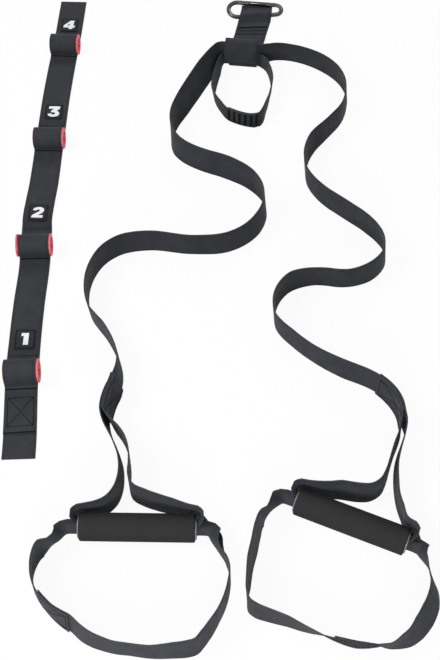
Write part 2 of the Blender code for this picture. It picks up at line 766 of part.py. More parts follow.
def anchor_profile(spine_at):
    """Distance and height of the anchor strap, from the sleeve out round the clip and back."""
    face = WEBBING_THICK / 2
    lower = [Vector((face + u * MM, z * MM)) for u, z in ANCHOR_BACK if u * MM < spine_at - ANCHOR_DROP_AT]
    runs = [(b - a).normalized() for a, b in zip(lower, lower[1:])]
    runs = [runs[0]] + runs + [runs[-1]]
    upper = []
    for point, before, after in zip(lower, runs, runs[1:]):
        bend = (before + after).normalized()
        side = Vector((-bend.y, bend.x))
        upper.append(point + side * LAYER_STEP / bend.dot(after))
    turn = fold_end()
    dip = Vector((ANCHOR_DIP_AT, turn[-1].y))
    drop = Vector((-ANCHOR_DROP_AT, WEBBING_THICK / 2 + LAYER_STEP))
    loop = turn + [dip] + over_spine(dip, drop) + [drop]
    shift = Vector((spine_at, 0.0))
    return lower + [point + shift for point in loop] + list(reversed(upper))


def distance_along(points, reach, target):
    """How far along a line the point on it lies that is square to the target."""
    i = min(range(len(points) - 1), key=lambda k: (points[k] - target).length)
    aim = (points[i + 1] - points[i]).normalized()
    return reach[i] + (target - points[i]).dot(aim)


def along_line(points, reach, wanted):
    """The point and the direction at a distance along a line."""
    i = max(k for k in range(len(reach) - 1) if reach[k] <= wanted or k == 0)
    aim = (points[i + 1] - points[i]).normalized()
    return points[i] + aim * (wanted - reach[i]), headings(points)[i]


def anchor_row(square, along, spine):
    """Half a row: level with the sleeve at its back, with the spine at the clip, else square."""
    at_sleeve = min(1.0, max(0.0, 2 - 2 * along / ANCHOR_ROW_TURN))
    at_clip = min(1.0, max(0.0, 2 * (along - spine) / ANCHOR_ROW_TURN + 2))
    row = square * (1 - at_sleeve - at_clip)
    row -= sleeve_frame().to_3x3().col[0] * at_sleeve
    row -= clip_frame().to_3x3().col[0] * at_clip
    return row / row.dot(square) * ANCHOR_WIDTH / 2


def anchor_strap(collection):
    """A strap sewn to the sleeve's back that holds the clip in its fold."""
    turn = math.radians(ANCHOR_TURN)
    beyond = Vector((*layout(*CLIP_PLACE), 0.0)) + Vector((math.sin(turn), math.cos(turn), 0)) * ANCHOR_BEYOND
    plan = [(*layout(x, y), 0.0, 0.0, 0.0) for x, y in ANCHOR_PLAN + [CLIP_PLACE]]
    plan = smooth(plan + [(*beyond, 0.0, 0.0)], ANCHOR_STEP)
    points = [place(station) for station in plan]
    reach = [0.0]
    for a, b in zip(points, points[1:]):
        reach.append(reach[-1] + (b - a).length)
    back = sleeve_frame() @ Vector((0.0, SLEEVE_INNER_THICK / 2 + WEBBING_THICK, 0.0))
    start = distance_along(points, reach, back)
    spine = distance_along(points, reach, Vector((*layout(*CLIP_PLACE), 0.0))) - start
    rows = []
    for along, height in anchor_profile(spine):
        centre, aim = along_line(points, reach, start + along)
        middle = centre + Vector((0, 0, height))
        half = anchor_row(left_of(aim), along, spine)
        rows.append([middle - half, middle + half])
    loft_band("anchor_strap", rows, "black webbing", collection)


def clip_height():
    return WEBBING_THICK + CLIP_SEAT_GAP + CLIP_WIRE / 2


def clip_frame():
    """Matrix on the clip's spine: X along the spine, Y towards the gate."""
    matrix = Matrix.Translation((*layout(*CLIP_PLACE), clip_height()))
    matrix = matrix @ Matrix.Rotation(math.radians(CLIP_TURN), 4, "Z")
    return matrix @ Matrix.Rotation(math.radians(CLIP_RISE), 4, "X")


def clip_geometry():
    """Bow centres, the gate side's direction and its two tangent points."""
    big = Vector((CLIP_SPINE_START, CLIP_BIG_BOW, 0.0))
    small = Vector((CLIP_SPINE_START + CLIP_BOWS_APART, CLIP_SMALL_BOW, 0.0))
    slope = 2 * math.atan2(CLIP_SMALL_BOW - CLIP_BIG_BOW, CLIP_BOWS_APART)
    away = Vector((math.cos(slope), math.sin(slope), 0.0))
    outward = Vector((-away.y, away.x, 0.0))
    return big, small, slope, away, big + outward * CLIP_BIG_BOW, small + outward * CLIP_SMALL_BOW


def gate_frame():
    """Matrix at the gate's pin, in the clip's frame: X towards the nose, Y inwards."""
    _, _, slope, away, _, hinge_end = clip_geometry()
    pin = hinge_end - away * GATE_HINGE_INSET
    return Matrix.Translation(pin) @ Matrix.Rotation(slope + math.pi, 4, "Z")


def block(name, low, high, collection):
    bpy.ops.mesh.primitive_cube_add(size=1)
    obj = bpy.context.object
    obj.name = name
    low, high = Vector(low), Vector(high)
    obj.data.transform(Matrix.Translation((low + high) / 2) @ Matrix.Diagonal((*(high - low), 1)))
    hide_cutter(obj, collection)
    return obj


def hide_cutter(obj, collection):
    obj.hide_render = True
    obj.display_type = "WIRE"
    for owner in list(obj.users_collection):
        owner.objects.unlink(obj)
    collection.objects.link(obj)


def pin_cutter(name, radius, collection):
    bpy.ops.mesh.primitive_cylinder_add(vertices=16, radius=radius, depth=CLIP_WIRE * 2)
    obj = bpy.context.object
    obj.name = name
    hide_cutter(obj, collection)
    return obj


def cut(obj, cutter):
    boolean = obj.modifiers.new(cutter.name, "BOOLEAN")
    boolean.operation = "DIFFERENCE"
    boolean.object = cutter
    boolean.solver = "EXACT"


def wire_path():
    """Points along the clip's wire, from the nose round both bows to the hinge."""
    big, small, slope, away, nose_end, _ = clip_geometry()
    gate = gate_frame()
    nose = gate @ Vector((GATE_LENGTH + CONTACT_GAP - NOSE_TONGUE, 0, 0))
    path = [nose, nose_end + away * EYE_WALL]
    for k in range(9):
        angle = math.pi / 2 + slope + (math.pi - slope) * k / 8
        path.append(big + Vector((math.cos(angle), math.sin(angle), 0)) * CLIP_BIG_BOW)
    for k in range(8):
        angle = -math.pi / 2 + (math.pi + slope) * k / 7
        path.append(small + Vector((math.cos(angle), math.sin(angle), 0)) * CLIP_SMALL_BOW)
    path.append(gate @ Vector((PIN_RADIUS + EYE_WALL, 0, 0)))
    return path


def swept_wire(path, collection):
    """The round wire along the path, as a mesh with its end caps welded on."""
    curve = bpy.data.curves.new("clip wire", "CURVE")
    curve.dimensions = "3D"
    curve.bevel_depth = CLIP_WIRE / 2
    curve.bevel_resolution = 4
    curve.use_fill_caps = True
    spline = curve.splines.new("POLY")
    spline.points.add(len(path) - 1)
    for point, co in zip(spline.points, path):
        point.co = (*co, 1.0)
    source = bpy.data.objects.new("clip wire", curve)
    collection.objects.link(source)
    evaluated = source.evaluated_get(bpy.context.evaluated_depsgraph_get())
    data = bpy.data.meshes.new_from_object(evaluated)
    bpy.data.objects.remove(source, do_unlink=True)
    mesh = bmesh.new()
    mesh.from_mesh(data)
    bmesh.ops.remove_doubles(mesh, verts=mesh.verts, dist=0.00001)
    mesh.to_mesh(data)
    mesh.free()
    return data


def carabiner_body(parts, cutters):
    """The bent wire, flattened to a tongue at each end of the gate."""
    obj = bpy.data.objects.new("carabiner_body", swept_wire(wire_path(), parts))
    finish(obj, "gunmetal", parts)
    frame = clip_frame() @ gate_frame()
    wide = CLIP_WIRE
    tongues = (
        ("hinge", -CLIP_WIRE / 2 - CONTACT_GAP, TONGUE_LENGTH),
        ("nose", GATE_LENGTH - TONGUE_LENGTH, GATE_LENGTH + CONTACT_GAP),
    )
    for name, low, high in tongues:
        for sign in (-1, 1):
            near, far = sorted((sign * TONGUE_THICK / 2, sign * wide))
            cheek = block(f"cut {name} {sign}", (low, -wide, near), (high, wide, far), cutters)
            cheek.matrix_world = frame
            cut(obj, cheek)
    hole = pin_cutter("cut tongue hole", PIN_RADIUS + CONTACT_GAP, cutters)
    hole.matrix_world = frame
    cut(obj, hole)
    obj.matrix_world = clip_frame()


def gate_profile():
    """Half section of the gate, from its flat nose end to its round hinge end."""
    radius = CLIP_WIRE / 2
    profile = [(0.0, GATE_LENGTH), (radius - GATE_EDGE, GATE_LENGTH), (radius, GATE_LENGTH - GATE_EDGE)]
    for k in range(3):
        angle = math.pi / 2 * k / 3
        profile.append((radius * math.cos(angle), -radius * math.sin(angle)))
    return profile + [(0.0, -radius)]


def carabiner_gate(parts, cutters):
    """A round bar with a fork at its hinge and a slot for the nose."""
    obj = turned("carabiner_gate", gate_profile(), 16, "gunmetal", parts)
    frame = clip_frame() @ gate_frame()
    slot = TONGUE_THICK / 2 + CONTACT_GAP
    wide = CLIP_WIRE
    seat = GATE_LENGTH - NOSE_TONGUE - CONTACT_GAP
    fork = block("cut fork", (-wide, -wide, -slot), (FORK_DEPTH, wide, slot), cutters)
    nose = block("cut nose seat", (seat, -wide, -slot), (GATE_LENGTH + wide, wide, slot), cutters)
    hole = pin_cutter("cut gate hole", PIN_RADIUS + CONTACT_GAP, cutters)
    for cutter in (fork, nose, hole):
        cutter.matrix_world = frame
        cut(obj, cutter)
    obj.matrix_world = frame @ Matrix.Rotation(math.pi / 2, 4, "Y")


def gate_pin(parts):
    length = CLIP_WIRE - 2 * PIN_INSET
    bpy.ops.mesh.primitive_cylinder_add(vertices=16, radius=PIN_RADIUS, depth=length)
    obj = bpy.context.object
    obj.name = "gate_pin"
    finish(obj, "gunmetal", parts)
    obj.matrix_world = clip_frame() @ gate_frame()


def main():
    clear_scene()
    parts = make_collection("door_resistance_trainer")
    cutters = make_collection("cutters")
    line = door_strap(parts)
    red_tubes(line, parts)
    number_patches(line, parts)
    left_sewn, right_sewn = main_strap(parts)
    handle_strap("left", left_sewn, parts)
    handle_strap("right", right_sewn, parts)
    for side in GRIPS:
        grip(side, parts)
        foot_loop(side, parts)
    anchor_sleeve(parts)
    locking_loop(parts)
    anchor_strap(parts)
    carabiner_body(parts, cutters)
    carabiner_gate(parts, cutters)
    gate_pin(parts)


main()
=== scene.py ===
import math
from bisect import bisect_right
from functools import partial

import bmesh
import bpy
from mathutils import Matrix, Vector


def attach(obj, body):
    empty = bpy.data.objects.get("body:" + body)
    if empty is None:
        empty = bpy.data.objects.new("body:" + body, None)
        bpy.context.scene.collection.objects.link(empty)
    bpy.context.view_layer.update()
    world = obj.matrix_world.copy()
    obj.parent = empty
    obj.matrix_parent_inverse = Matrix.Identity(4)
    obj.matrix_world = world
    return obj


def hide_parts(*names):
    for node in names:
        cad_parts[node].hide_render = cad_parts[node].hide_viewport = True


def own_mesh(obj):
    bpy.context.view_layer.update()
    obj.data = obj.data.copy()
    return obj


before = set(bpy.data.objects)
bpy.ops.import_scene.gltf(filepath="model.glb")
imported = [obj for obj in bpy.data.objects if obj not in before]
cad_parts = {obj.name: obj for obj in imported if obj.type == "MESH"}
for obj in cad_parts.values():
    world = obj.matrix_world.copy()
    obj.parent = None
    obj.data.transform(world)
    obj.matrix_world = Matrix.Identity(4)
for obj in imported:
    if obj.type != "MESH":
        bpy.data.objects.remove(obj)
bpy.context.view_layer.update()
mm = 0.001
up = Vector((0, 0, 1))
layoutOrigin = (-15.3, 107.3)  # the point of the floor layout, in its own mm, that is the origin
print("frame:", len(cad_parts), "nodes")


def spot(x, y, z=0.0):
    return Vector(((x - layoutOrigin[0]) * mm, (y - layoutOrigin[1]) * mm, z * mm))


def addObject(name, data):
    made = bpy.data.objects.new(name, data)
    bpy.context.scene.collection.objects.link(made)
    return made


def meshOf(name, bm):
    data = bpy.data.meshes.new(name)
    bm.to_mesh(data)
    bm.free()
    return data


# Camera, where the photo was taken from, in layout mm
view = {"place": (0.0, -813.0, 1161.0), "elevation": 55.0, "lens": 61.09, "sensor": 36.0}


def addCamera():
    data = bpy.data.cameras.new("camera")
    data.lens = view["lens"]
    data.sensor_width = view["sensor"]
    camera = addObject("camera", data)
    camera.location = spot(*view["place"])
    camera.rotation_euler = (math.radians(90 - view["elevation"]), 0, 0)
    bpy.context.scene.camera = camera


addCamera()
print("camera")

# Webbing that every strap is cut from
webbing = {"width": 0.040, "thick": 0.0015, "seamGap": 0.0004, "contact": 0.0003, "nestGap": 0.0013, "boxHalf": 0.0155}
layerStep = webbing["thick"] + webbing["seamGap"]
halfThick = webbing["thick"] / 2
sampling = {"band": 0.014, "loft": 0.012, "loop": 0.010, "door": 0.030, "anchor": 0.004, "fine": 0.003}
flat = math.radians(90)
weld = {"sweep": 0.000001, "turned": 0.000005, "numeral": 0.00001}  # how near points are merged
curlLeast = 0.03


def leftOf(heading):
    return Vector((-heading.y, heading.x, 0.0)).normalized()


def headings(points):
    runs = [(b - a).normalized() for a, b in zip(points, points[1:])]
    runs = [runs[0]] + runs + [runs[-1]]
    return [(a + b).normalized() for a, b in zip(runs, runs[1:])]


# Points on an arc about (x, y), with its angles in degrees
def arc(x, y, radius, start, end, cuts):
    points = []
    for k in range(cuts + 1):
        angle = math.radians(start + (end - start) * k / cuts)
        points.append((x + radius * math.cos(angle), y + radius * math.sin(angle)))
    return points


def reaches(points):
    reach = [0.0]
    for a, b in zip(points, points[1:]):
        reach.append(reach[-1] + (b - a).length)
    return reach


# A station is a point at mid width, the band's lean to the left of travel, and its curl
def laid(points, lean=0.0):
    return [(point, lean, 0.0) for point in points]


def runOf(stations):
    return reaches([station[0] for station in stations])[-1]


# A band that stands on its edge along a route of x, y, lean in degrees and lift in mm
def standing(route, width=webbing["width"]):
    feet = [spot(*step[:2]) for step in route]
    stations = []
    for foot, heading, (_, _, degrees, *lift) in zip(feet, headings(feet), route):
        lean = math.radians(degrees)
        middle = foot + leftOf(heading) * math.sin(lean) * width / 2
        middle.z = webbing["contact"] + width / 2 * math.cos(lean) + halfThick * abs(math.sin(lean))
        middle.z += sum(lift) * mm
        stations.append((middle, lean, 0.0))
    return stations


def backwards(stations):
    return [(point, -lean, curl) for point, lean, curl in reversed(stations)]


def smooth(stations, step=sampling["fine"]):
    points = [station[0] for station in stations]
    spans = [(b - a).length for a, b in zip(points, points[1:])]
    slopes = [(b - a) / span for a, b, span in zip(points, points[1:], spans)]
    bends = [slopes[0]]
    for i in range(1, len(spans)):
        before, after = spans[i - 1], spans[i]
        bends.append((slopes[i - 1] * after + slopes[i] * before) / (before + after))
    bends.append(slopes[-1])
    samples = []
    for i, span in enumerate(spans):
        cuts = max(1, round(span / step))
        (a, leanA, curlA), (b, leanB, curlB) = stations[i], stations[i + 1]
        for k in range(cuts):
            f = k / cuts
            point = a * (2 * f**3 - 3 * f**2 + 1) + bends[i] * span * (f**3 - 2 * f**2 + f)
            point = point + b * (3 * f**2 - 2 * f**3) + bends[i + 1] * span * (f**3 - f**2)
            samples.append((point, leanA + (leanB - leanA) * f, curlA + (curlB - curlA) * f))
    samples.append(stations[-1])
    return samples


def beside(stations, distance):
    levels = [Vector((point.x, point.y, 0.0)) for point, _, _ in stations]
    moved = []
    for i, ((point, lean, curl), heading) in enumerate(zip(stations, headings(levels))):
        near = max(i, 1)
        run = (levels[near] - levels[near - 1]).normalized()
        moved.append((point + leftOf(heading) * distance / heading.dot(run), lean, curl))
    return moved


# A band is its stations with all that is needed to find a place on it
def layBand(stations, width=webbing["width"], rises=None):
    points = [station[0] for station in stations]
    aims = headings(points)
    if rises is None:
        rises = [leftOf(aim) * math.sin(s[1]) + up * math.cos(s[1]) for aim, s in zip(aims, stations)]
    inwards = [aim.cross(rise).normalized() for aim, rise in zip(aims, rises)]
    return {
        "points": points, "rises": rises, "inwards": inwards, "curls": [s[2] for s in stations],
        "reach": reaches(points), "width": width,
    }


def sectionPoint(band, i, across, offset):
    curl = band["curls"][i]
    point, rise, inward = band["points"][i], band["rises"][i], band["inwards"][i]
    if curl < curlLeast:
        return point + rise * across + inward * offset
    radius = band["width"] / curl
    angle = curl * across / band["width"]
    reach = radius - offset
    return point + rise * reach * math.sin(angle) + inward * (radius - reach * math.cos(angle))


def onBand(band, along, across, offset):
    i = min(max(bisect_right(band["reach"], along) - 1, 0), len(band["reach"]) - 2)
    f = (along - band["reach"][i]) / (band["reach"][i + 1] - band["reach"][i])
    return sectionPoint(band, i, across, offset).lerp(sectionPoint(band, i + 1, across, offset), f)


def bandOutline(width, thick, cuts=8):
    radius = thick / 2
    half = width / 2 - radius
    top = [(half * (2 * k / cuts - 1), radius) for k in range(1, cuts)]
    outline = arc(-half, 0, radius, 180, 90, 2) + top + arc(half, 0, radius, 90, -90, 4)
    return outline + [(-across, -offset) for across, offset in top] + arc(-half, 0, radius, -90, -180, 2)


# A sheet grid rolled round an outline at every station, with its ends closed. UVs are in metres,
# and fromEdge is how far a point lies from the outline's sides
def sweep(stationCount, outline, reach, placeOf):
    bm = bmesh.new()
    uv = bm.loops.layers.uv.new("UVMap")
    fromEdge = bm.verts.layers.float.new("fromEdge")
    widest = max(abs(a) for a, _ in outline)
    rows, cols = stationCount - 1, len(outline) - 1
    bmesh.ops.create_grid(bm, x_segments=rows, y_segments=cols, size=0.5, calc_uvs=True)
    around = reaches([Vector((a, b, 0.0)) for a, b in outline])
    for vert in bm.verts:
        i, j = round((vert.co.x + 0.5) * rows), round((vert.co.y + 0.5) * cols)
        vert[fromEdge] = widest - abs(outline[j][0])
        vert.co = placeOf(i, *outline[j])
    for face in bm.faces:
        for loop in face.loops:
            u, v = loop[uv].uv
            loop[uv].uv = (reach[round(u * rows)], around[round(v * cols)])
    bmesh.ops.remove_doubles(bm, verts=bm.verts, dist=weld["sweep"])
    rims = [edge for edge in bm.edges if edge.is_boundary]
    if rims:
        bmesh.ops.holes_fill(bm, edges=rims, sides=0)
    bmesh.ops.recalc_face_normals(bm, faces=bm.faces)
    return bm


def makePiece(bm, name, material, body="root", slotName="webbing", nodes=(), sharp=45):
    data = meshOf(name, bm)
    data.shade_smooth()
    data.set_sharp_from_angle(angle=math.radians(sharp))
    data.materials.append(material)
    piece = addObject(name, data)
    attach(piece, body)
    if nodes:
        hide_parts(*nodes)
    return piece


def sheetPiece(name, band, material, held, restsOn=(), **facts):
    outline = bandOutline(band["width"], webbing["thick"])
    bm = sweep(len(band["points"]), outline, band["reach"], partial(sectionPoint, band))
    piece = makePiece(bm, name, material, **facts)
    list(restsOn)
    return piece


# Stitches: beads of thread along a line on a band
thread = {
    "pitch": 0.0034, "length": 0.0031, "wide": 0.0013, "high": 0.0006, "lift": 0.12,
    "seamAndShadowWide": 0.0024, "seamAndShadowLength": 0.0042, "probe": 0.001, "around": 8, "rings": 5,
}


def addBead(bm, a, b, normal, wide, high):
    run = b - a
    aim = run.normalized()
    side = normal.cross(aim).normalized()
    turn = Matrix((aim * run.length, side * wide, normal * high)).transposed().to_4x4()
    matrix = Matrix.Translation((a + b) / 2) @ turn
    bmesh.ops.create_uvsphere(
        bm, u_segments=thread["around"], v_segments=thread["rings"], radius=0.5, matrix=matrix,
    )


def stitchLine(bm, band, start, end, face=1, wide=thread["wide"], length=thread["length"]):
    start, end = Vector(start), Vector(end)
    offset = face * (halfThick + thread["high"] * thread["lift"])
    count = max(1, round((end - start).length / thread["pitch"]))
    share = length / thread["pitch"] / 2
    for k in range(count):
        near = start.lerp(end, (k + 0.5 - share) / count)
        far = start.lerp(end, (k + 0.5 + share) / count)
        a = onBand(band, near.x, near.y, offset)
        b = onBand(band, far.x, far.y, offset)
        normal = (onBand(band, near.x, near.y, offset + face * thread["probe"]) - a).normalized()
        addBead(bm, a, b, normal, wide, thread["high"])


# A wide row of thread beads: a seam, and on the door strap also a painted shadow line at the humps' creases and at the
# top layer's end
def seam(bm, band, along, half, face=1):
    stitchLine(bm, band, (along, -half), (along, half), face, thread["seamAndShadowWide"], thread["seamAndShadowLength"])


def stitchBox(bm, band, low, high, face=1):
    half = webbing["boxHalf"]
    corners = [(low, -half), (high, -half), (high, half), (low, half)]
    for a, b in list(zip(corners, corners[1:] + corners[:1])) + [corners[::2], corners[1::2]]:
        stitchLine(bm, band, a, b, face)


# A box of stitches at each end of a band whose two ends are sewn over a common run
def sewnBoxes(name, band, sewn, inset, faces, **facts):
    bm, run = bmesh.new(), runOf(sewn)
    for start, face in zip((0.0, band["reach"][-1] - run), faces):
        stitchBox(bm, band, start + inset, start + run - inset, face)
    makePiece(bm, name, finishes["thread"], **facts)


# Shader groups
def newGroup(name, inputs, outputs):
    group = bpy.data.node_groups.new(name, "ShaderNodeTree")
    for title, kind, value in inputs:
        socket = group.interface.new_socket(name=title, in_out="INPUT", socket_type=kind)
        if kind == "NodeSocketFloat":
            socket.default_value = value
    for title, kind in outputs:
        group.interface.new_socket(name=title, in_out="OUTPUT", socket_type=kind)
    return group, group.nodes.new("NodeGroupInput"), group.nodes.new("NodeGroupOutput")


def feed(tree, node, inputs):
    for socket, value in inputs.items():
        if isinstance(value, bpy.types.NodeSocket):
            tree.links.new(value, node.inputs[socket])
        elif value is not None:
            node.inputs[socket].default_value = value
    return node


def addNode(tree, kind, inputs, **settings):
    node = tree.nodes.new(kind)
    for name, value in settings.items():
        setattr(node, name, value)
    return feed(tree, node, inputs)


def mathNode(tree, operation, first, second=None, clamp=False):
    node = addNode(tree, "ShaderNodeMath", {0: first, 1: second}, operation=operation, use_clamp=clamp)
    return node.outputs[0]


def noiseNode(tree, vector, scale, detail=3.0, roughness=0.55):
    inputs = {"Vector": vector, "Scale": scale, "Detail": detail, "Roughness": roughness}
    return addNode(tree, "ShaderNodeTexNoise", inputs).outputs["Fac"]


def remap(tree, value, target, source=(0.0, 1.0), interpolation="LINEAR"):
    inputs = {"Value": value, "From Min": source[0], "From Max": source[1], "To Min": target[0], "To Max": target[1]}
    return addNode(tree, "ShaderNodeMapRange", inputs, interpolation_type=interpolation).outputs["Result"]


def fadeNode(tree, value, zeroAt, oneAt):
    return remap(tree, value, (1.0, 0.0), (oneAt, zeroAt), "SMOOTHSTEP")


# Woven webbing: ribs across the band, crossed by warp yarns, with a selvedge. Places are in metres. The groove beside
# the selvedge is a dip in the bump and is also painted darker as shade, and the outermost edge gets a painted rim
# highlight
weaving = {
    "fromEdge": 0.01, "ribPitch": 0.0021, "yarnPitch": 0.0013, "ribShare": 0.6, "yarnShare": 0.4,
    "fuzzScale": 2600.0, "fuzzHeight": 0.35, "fuzzShade": 0.5, "leastShade": 0.55, "slowScale": 55.0, "slowShade": 0.5,
    "grooveAt": 0.0026, "grooveHalf": 0.0009, "grooveDepth": 0.7, "groovePaintedShade": 0.22,
    "border": (0.0011, 0.0003), "rimPaintedHighlight": 0.35, "bump": 0.6, "relief": 0.00045,
}


def makeWeave():
    group, given, made = newGroup(
        "weave",
        [
            ("Place", "NodeSocketVector", None), ("From Edge", "NodeSocketFloat", weaving["fromEdge"]),
            ("Rib Pitch", "NodeSocketFloat", weaving["ribPitch"]),
            ("Yarn Pitch", "NodeSocketFloat", weaving["yarnPitch"]),
        ],
        [("Height", "NodeSocketFloat"), ("Shade", "NodeSocketFloat")],
    )

    def calc(operation, first, second=None, clamp=False):
        return mathNode(group, operation, first, second, clamp)

    place, fromEdge = given.outputs["Place"], given.outputs["From Edge"]
    parts = addNode(group, "ShaderNodeSeparateXYZ", {0: place})
    ribs = calc("DIVIDE", parts.outputs["X"], given.outputs["Rib Pitch"])
    yarns = calc("DIVIDE", parts.outputs["Y"], given.outputs["Yarn Pitch"])
    odd = calc("MULTIPLY", calc("FLOOR", yarns), 0.5)
    rib = calc("ABSOLUTE", calc("SINE", calc("MULTIPLY", calc("ADD", ribs, odd), math.pi)))
    yarn = calc("ABSOLUTE", calc("SINE", calc("MULTIPLY", yarns, math.pi)))
    crossing = calc("ADD", calc("MULTIPLY", rib, weaving["ribShare"]), calc("MULTIPLY", yarn, weaving["yarnShare"]))
    fuzz = noiseNode(group, place, weaving["fuzzScale"])
    slow = noiseNode(group, place, weaving["slowScale"], 2.0)
    side = calc("ABSOLUTE", calc("SUBTRACT", fromEdge, weaving["grooveAt"]))
    groove = fadeNode(group, side, weaving["grooveHalf"], 0.0)  # beside the selvedge
    # painted highlight: the band's outermost edge, its rim, is lightened as if it caught the light
    border = fadeNode(group, fromEdge, *weaving["border"])
    height = calc("ADD", crossing, calc("MULTIPLY", fuzz, weaving["fuzzHeight"]))
    height = calc("SUBTRACT", height, calc("MULTIPLY", groove, weaving["grooveDepth"]))
    grey = calc("ADD", calc("MULTIPLY", fuzz, weaving["fuzzShade"]), weaving["leastShade"])
    shade = calc("MULTIPLY", crossing, grey)
    shade = calc("ADD", shade, calc("MULTIPLY", calc("SUBTRACT", slow, 0.5), weaving["slowShade"]))
    # painted shade: the groove beside the selvedge is darkened as if shade fell in it
    shade = calc("SUBTRACT", shade, calc("MULTIPLY", groove, weaving["groovePaintedShade"]))
    # painted rim highlight added along the edges
    shade = calc("ADD", shade, calc("MULTIPLY", border, weaving["rimPaintedHighlight"]), True)
    feed(group, made, {"Height": height, "Shade": shade})
    return group


# Fine moulded or foamed grain, on Object coordinates
def makeGrain():
    group, given, made = newGroup(
        "grain",
        [("Place", "NodeSocketVector", None), ("Size", "NodeSocketFloat", 900.0)],
        [("Height", "NodeSocketFloat"), ("Mottle", "NodeSocketFloat")],
    )
    place = given.outputs["Place"]
    fine = noiseNode(group, place, given.outputs["Size"], 4.0, 0.5)
    feed(group, made, {"Height": fine, "Mottle": noiseNode(group, place, 45.0)})
    return group


weaveGroup = makeWeave()
grainGroup = makeGrain()


def newMaterial(name, roughness, metallic=0.0):
    material = bpy.data.materials.new(name)
    material.use_nodes = True
    shader = material.node_tree.nodes["Principled BSDF"]
    shader.inputs["Roughness"].default_value = roughness
    shader.inputs["Metallic"].default_value = metallic
    return material, material.node_tree, shader


def mixColours(tree, factor, dark, light):
    inputs = {0: factor, 6: (*dark, 1.0), 7: (*light, 1.0)}
    return addNode(tree, "ShaderNodeMix", inputs, data_type="RGBA").outputs[2]


def bumpNode(tree, height, strength, distance):
    inputs = {"Strength": strength, "Distance": distance, "Height": height}
    return addNode(tree, "ShaderNodeBump", inputs).outputs["Normal"]


def webbingMaterial(name, dark, light, ribPitch=weaving["ribPitch"], roughness=(0.8, 0.62)):
    material, tree, shader = newMaterial(name, 0.7)
    place = addNode(tree, "ShaderNodeUVMap", {}, uv_map="UVMap").outputs["UV"]
    edge = addNode(tree, "ShaderNodeAttribute", {}, attribute_name="fromEdge").outputs["Fac"]
    inputs = {"Place": place, "From Edge": edge, "Rib Pitch": ribPitch}
    weave = addNode(tree, "ShaderNodeGroup", {}, node_tree=weaveGroup)
    shade = feed(tree, weave, inputs).outputs["Shade"]
    feed(tree, shader, {
        "Base Color": mixColours(tree, shade, dark, light), "Roughness": remap(tree, shade, roughness),
        "Normal": bumpNode(tree, weave.outputs["Height"], weaving["bump"], weaving["relief"]),
        "Specular IOR Level": 0.12, "Sheen Weight": 0.05, "Sheen Roughness": 0.4,
    })
    return material


def grainMaterial(name, dark, light, roughness, size, relief, metallic=0.0, specular=0.5):
    material, tree, shader = newMaterial(name, roughness[0], metallic)
    place = addNode(tree, "ShaderNodeTexCoord", {}).outputs["Object"]
    grain = addNode(tree, "ShaderNodeGroup", {}, node_tree=grainGroup)
    mottle = feed(tree, grain, {"Place": place, "Size": size}).outputs["Mottle"]
    feed(tree, shader, {
        "Base Color": mixColours(tree, mottle, dark, light), "Roughness": remap(tree, mottle, roughness),
        "Normal": bumpNode(tree, grain.outputs["Height"], 0.5, relief), "Specular IOR Level": specular,
    })
    return material


finishes = {
    "strap": webbingMaterial("strap webbing", (0.010, 0.0108, 0.0132), (0.055, 0.0597, 0.0716), ribPitch=0.0026),
    "door": webbingMaterial("door strap webbing", (0.010, 0.0108, 0.0128), (0.052, 0.0565, 0.065)),
    "foot": webbingMaterial("foot loop webbing", (0.0105, 0.0114, 0.0138), (0.058, 0.0627, 0.0751), ribPitch=0.0026),
    # black thread, darker than the webbing: partly its own colour, partly painted shade of the grooves it is pulled
    # into
    "thread": grainMaterial(
        "black thread with painted groove shade", (0.002, 0.002, 0.0025), (0.006, 0.006, 0.007), (0.6, 0.75), 1500.0, 0.0001, specular=0.08,
    ),
    "patch": grainMaterial(
        "label cloth", (0.014, 0.016, 0.018), (0.034, 0.038, 0.042), (0.6, 0.75), 1400.0, 0.00015, specular=0.12,
    ),
    "numeral": grainMaterial("white print", (0.84, 0.84, 0.85), (0.93, 0.93, 0.93), (0.5, 0.6), 1200.0, 0.00003),
    "red": grainMaterial("red plastic", (0.70, 0.075, 0.105), (0.82, 0.125, 0.165), (0.42, 0.5), 700.0, 0.00002),
    "foam": grainMaterial(
        "black foam", (0.018, 0.018, 0.019), (0.029, 0.029, 0.030), (0.8, 0.9), 1500.0, 0.0002, specular=0.12,
    ),
    "gripPlastic": grainMaterial("grey plastic", (0.15, 0.155, 0.16), (0.20, 0.205, 0.21), (0.4, 0.5), 900.0, 0.00003),
    "gunmetal": grainMaterial(
        "gunmetal", (0.055, 0.055, 0.058), (0.09, 0.09, 0.094), (0.16, 0.24), 400.0, 0.00002, metallic=1.0,
    ),
}
print("materials")

# Door strap: a base and a sewn layer that loops over four tubes
doorStrap = {
    "route": [
        (-236, -185), (-237, -160), (-239, -131), (-242, -90), (-244, -45), (-245, 0), (-245, 50),
        (-244, 95), (-245, 130), (-247, 160), (-248, 185), (-247, 212), (-245, 245), (-244, 300),
        (-243, 365), (-242, 415), (-239, 484), (-235, 556), (-232, 636),
    ],
    "layerEnds": (-152, 633), "tubes": (-72, 126, 322, 520),
    "humps": ((0.0172, 0.0255), (0.0128, 0.0255), (0.0128, 0.0255), (0.0128, 0.0255)),
    "humpLead": 0.004, "humpRise": 0.0006, "humpCuts": 16, "apart": 0.01,
    "creaseShadowRows": (0.0182, 0.0138, 0.0138, 0.0138), "shadowRowHalf": 0.0190, "endSeamAndShadow": 0.0014,
    "rows": ((0.0304,), (0.0365, 0.0400), (0.0360,), (0.0360,)), "rowHalf": 0.0178, "box": (-142, -102),
}
redTube = {
    "length": 0.046, "body": 0.013, "flange": 0.015, "flangeWide": 0.0023, "bore": 0.0095,
    "edge": 0.0006, "steps": 72, "running": 0.0004, "plainEnds": (1, 3, 4), "plainHalf": 0.0205,
}
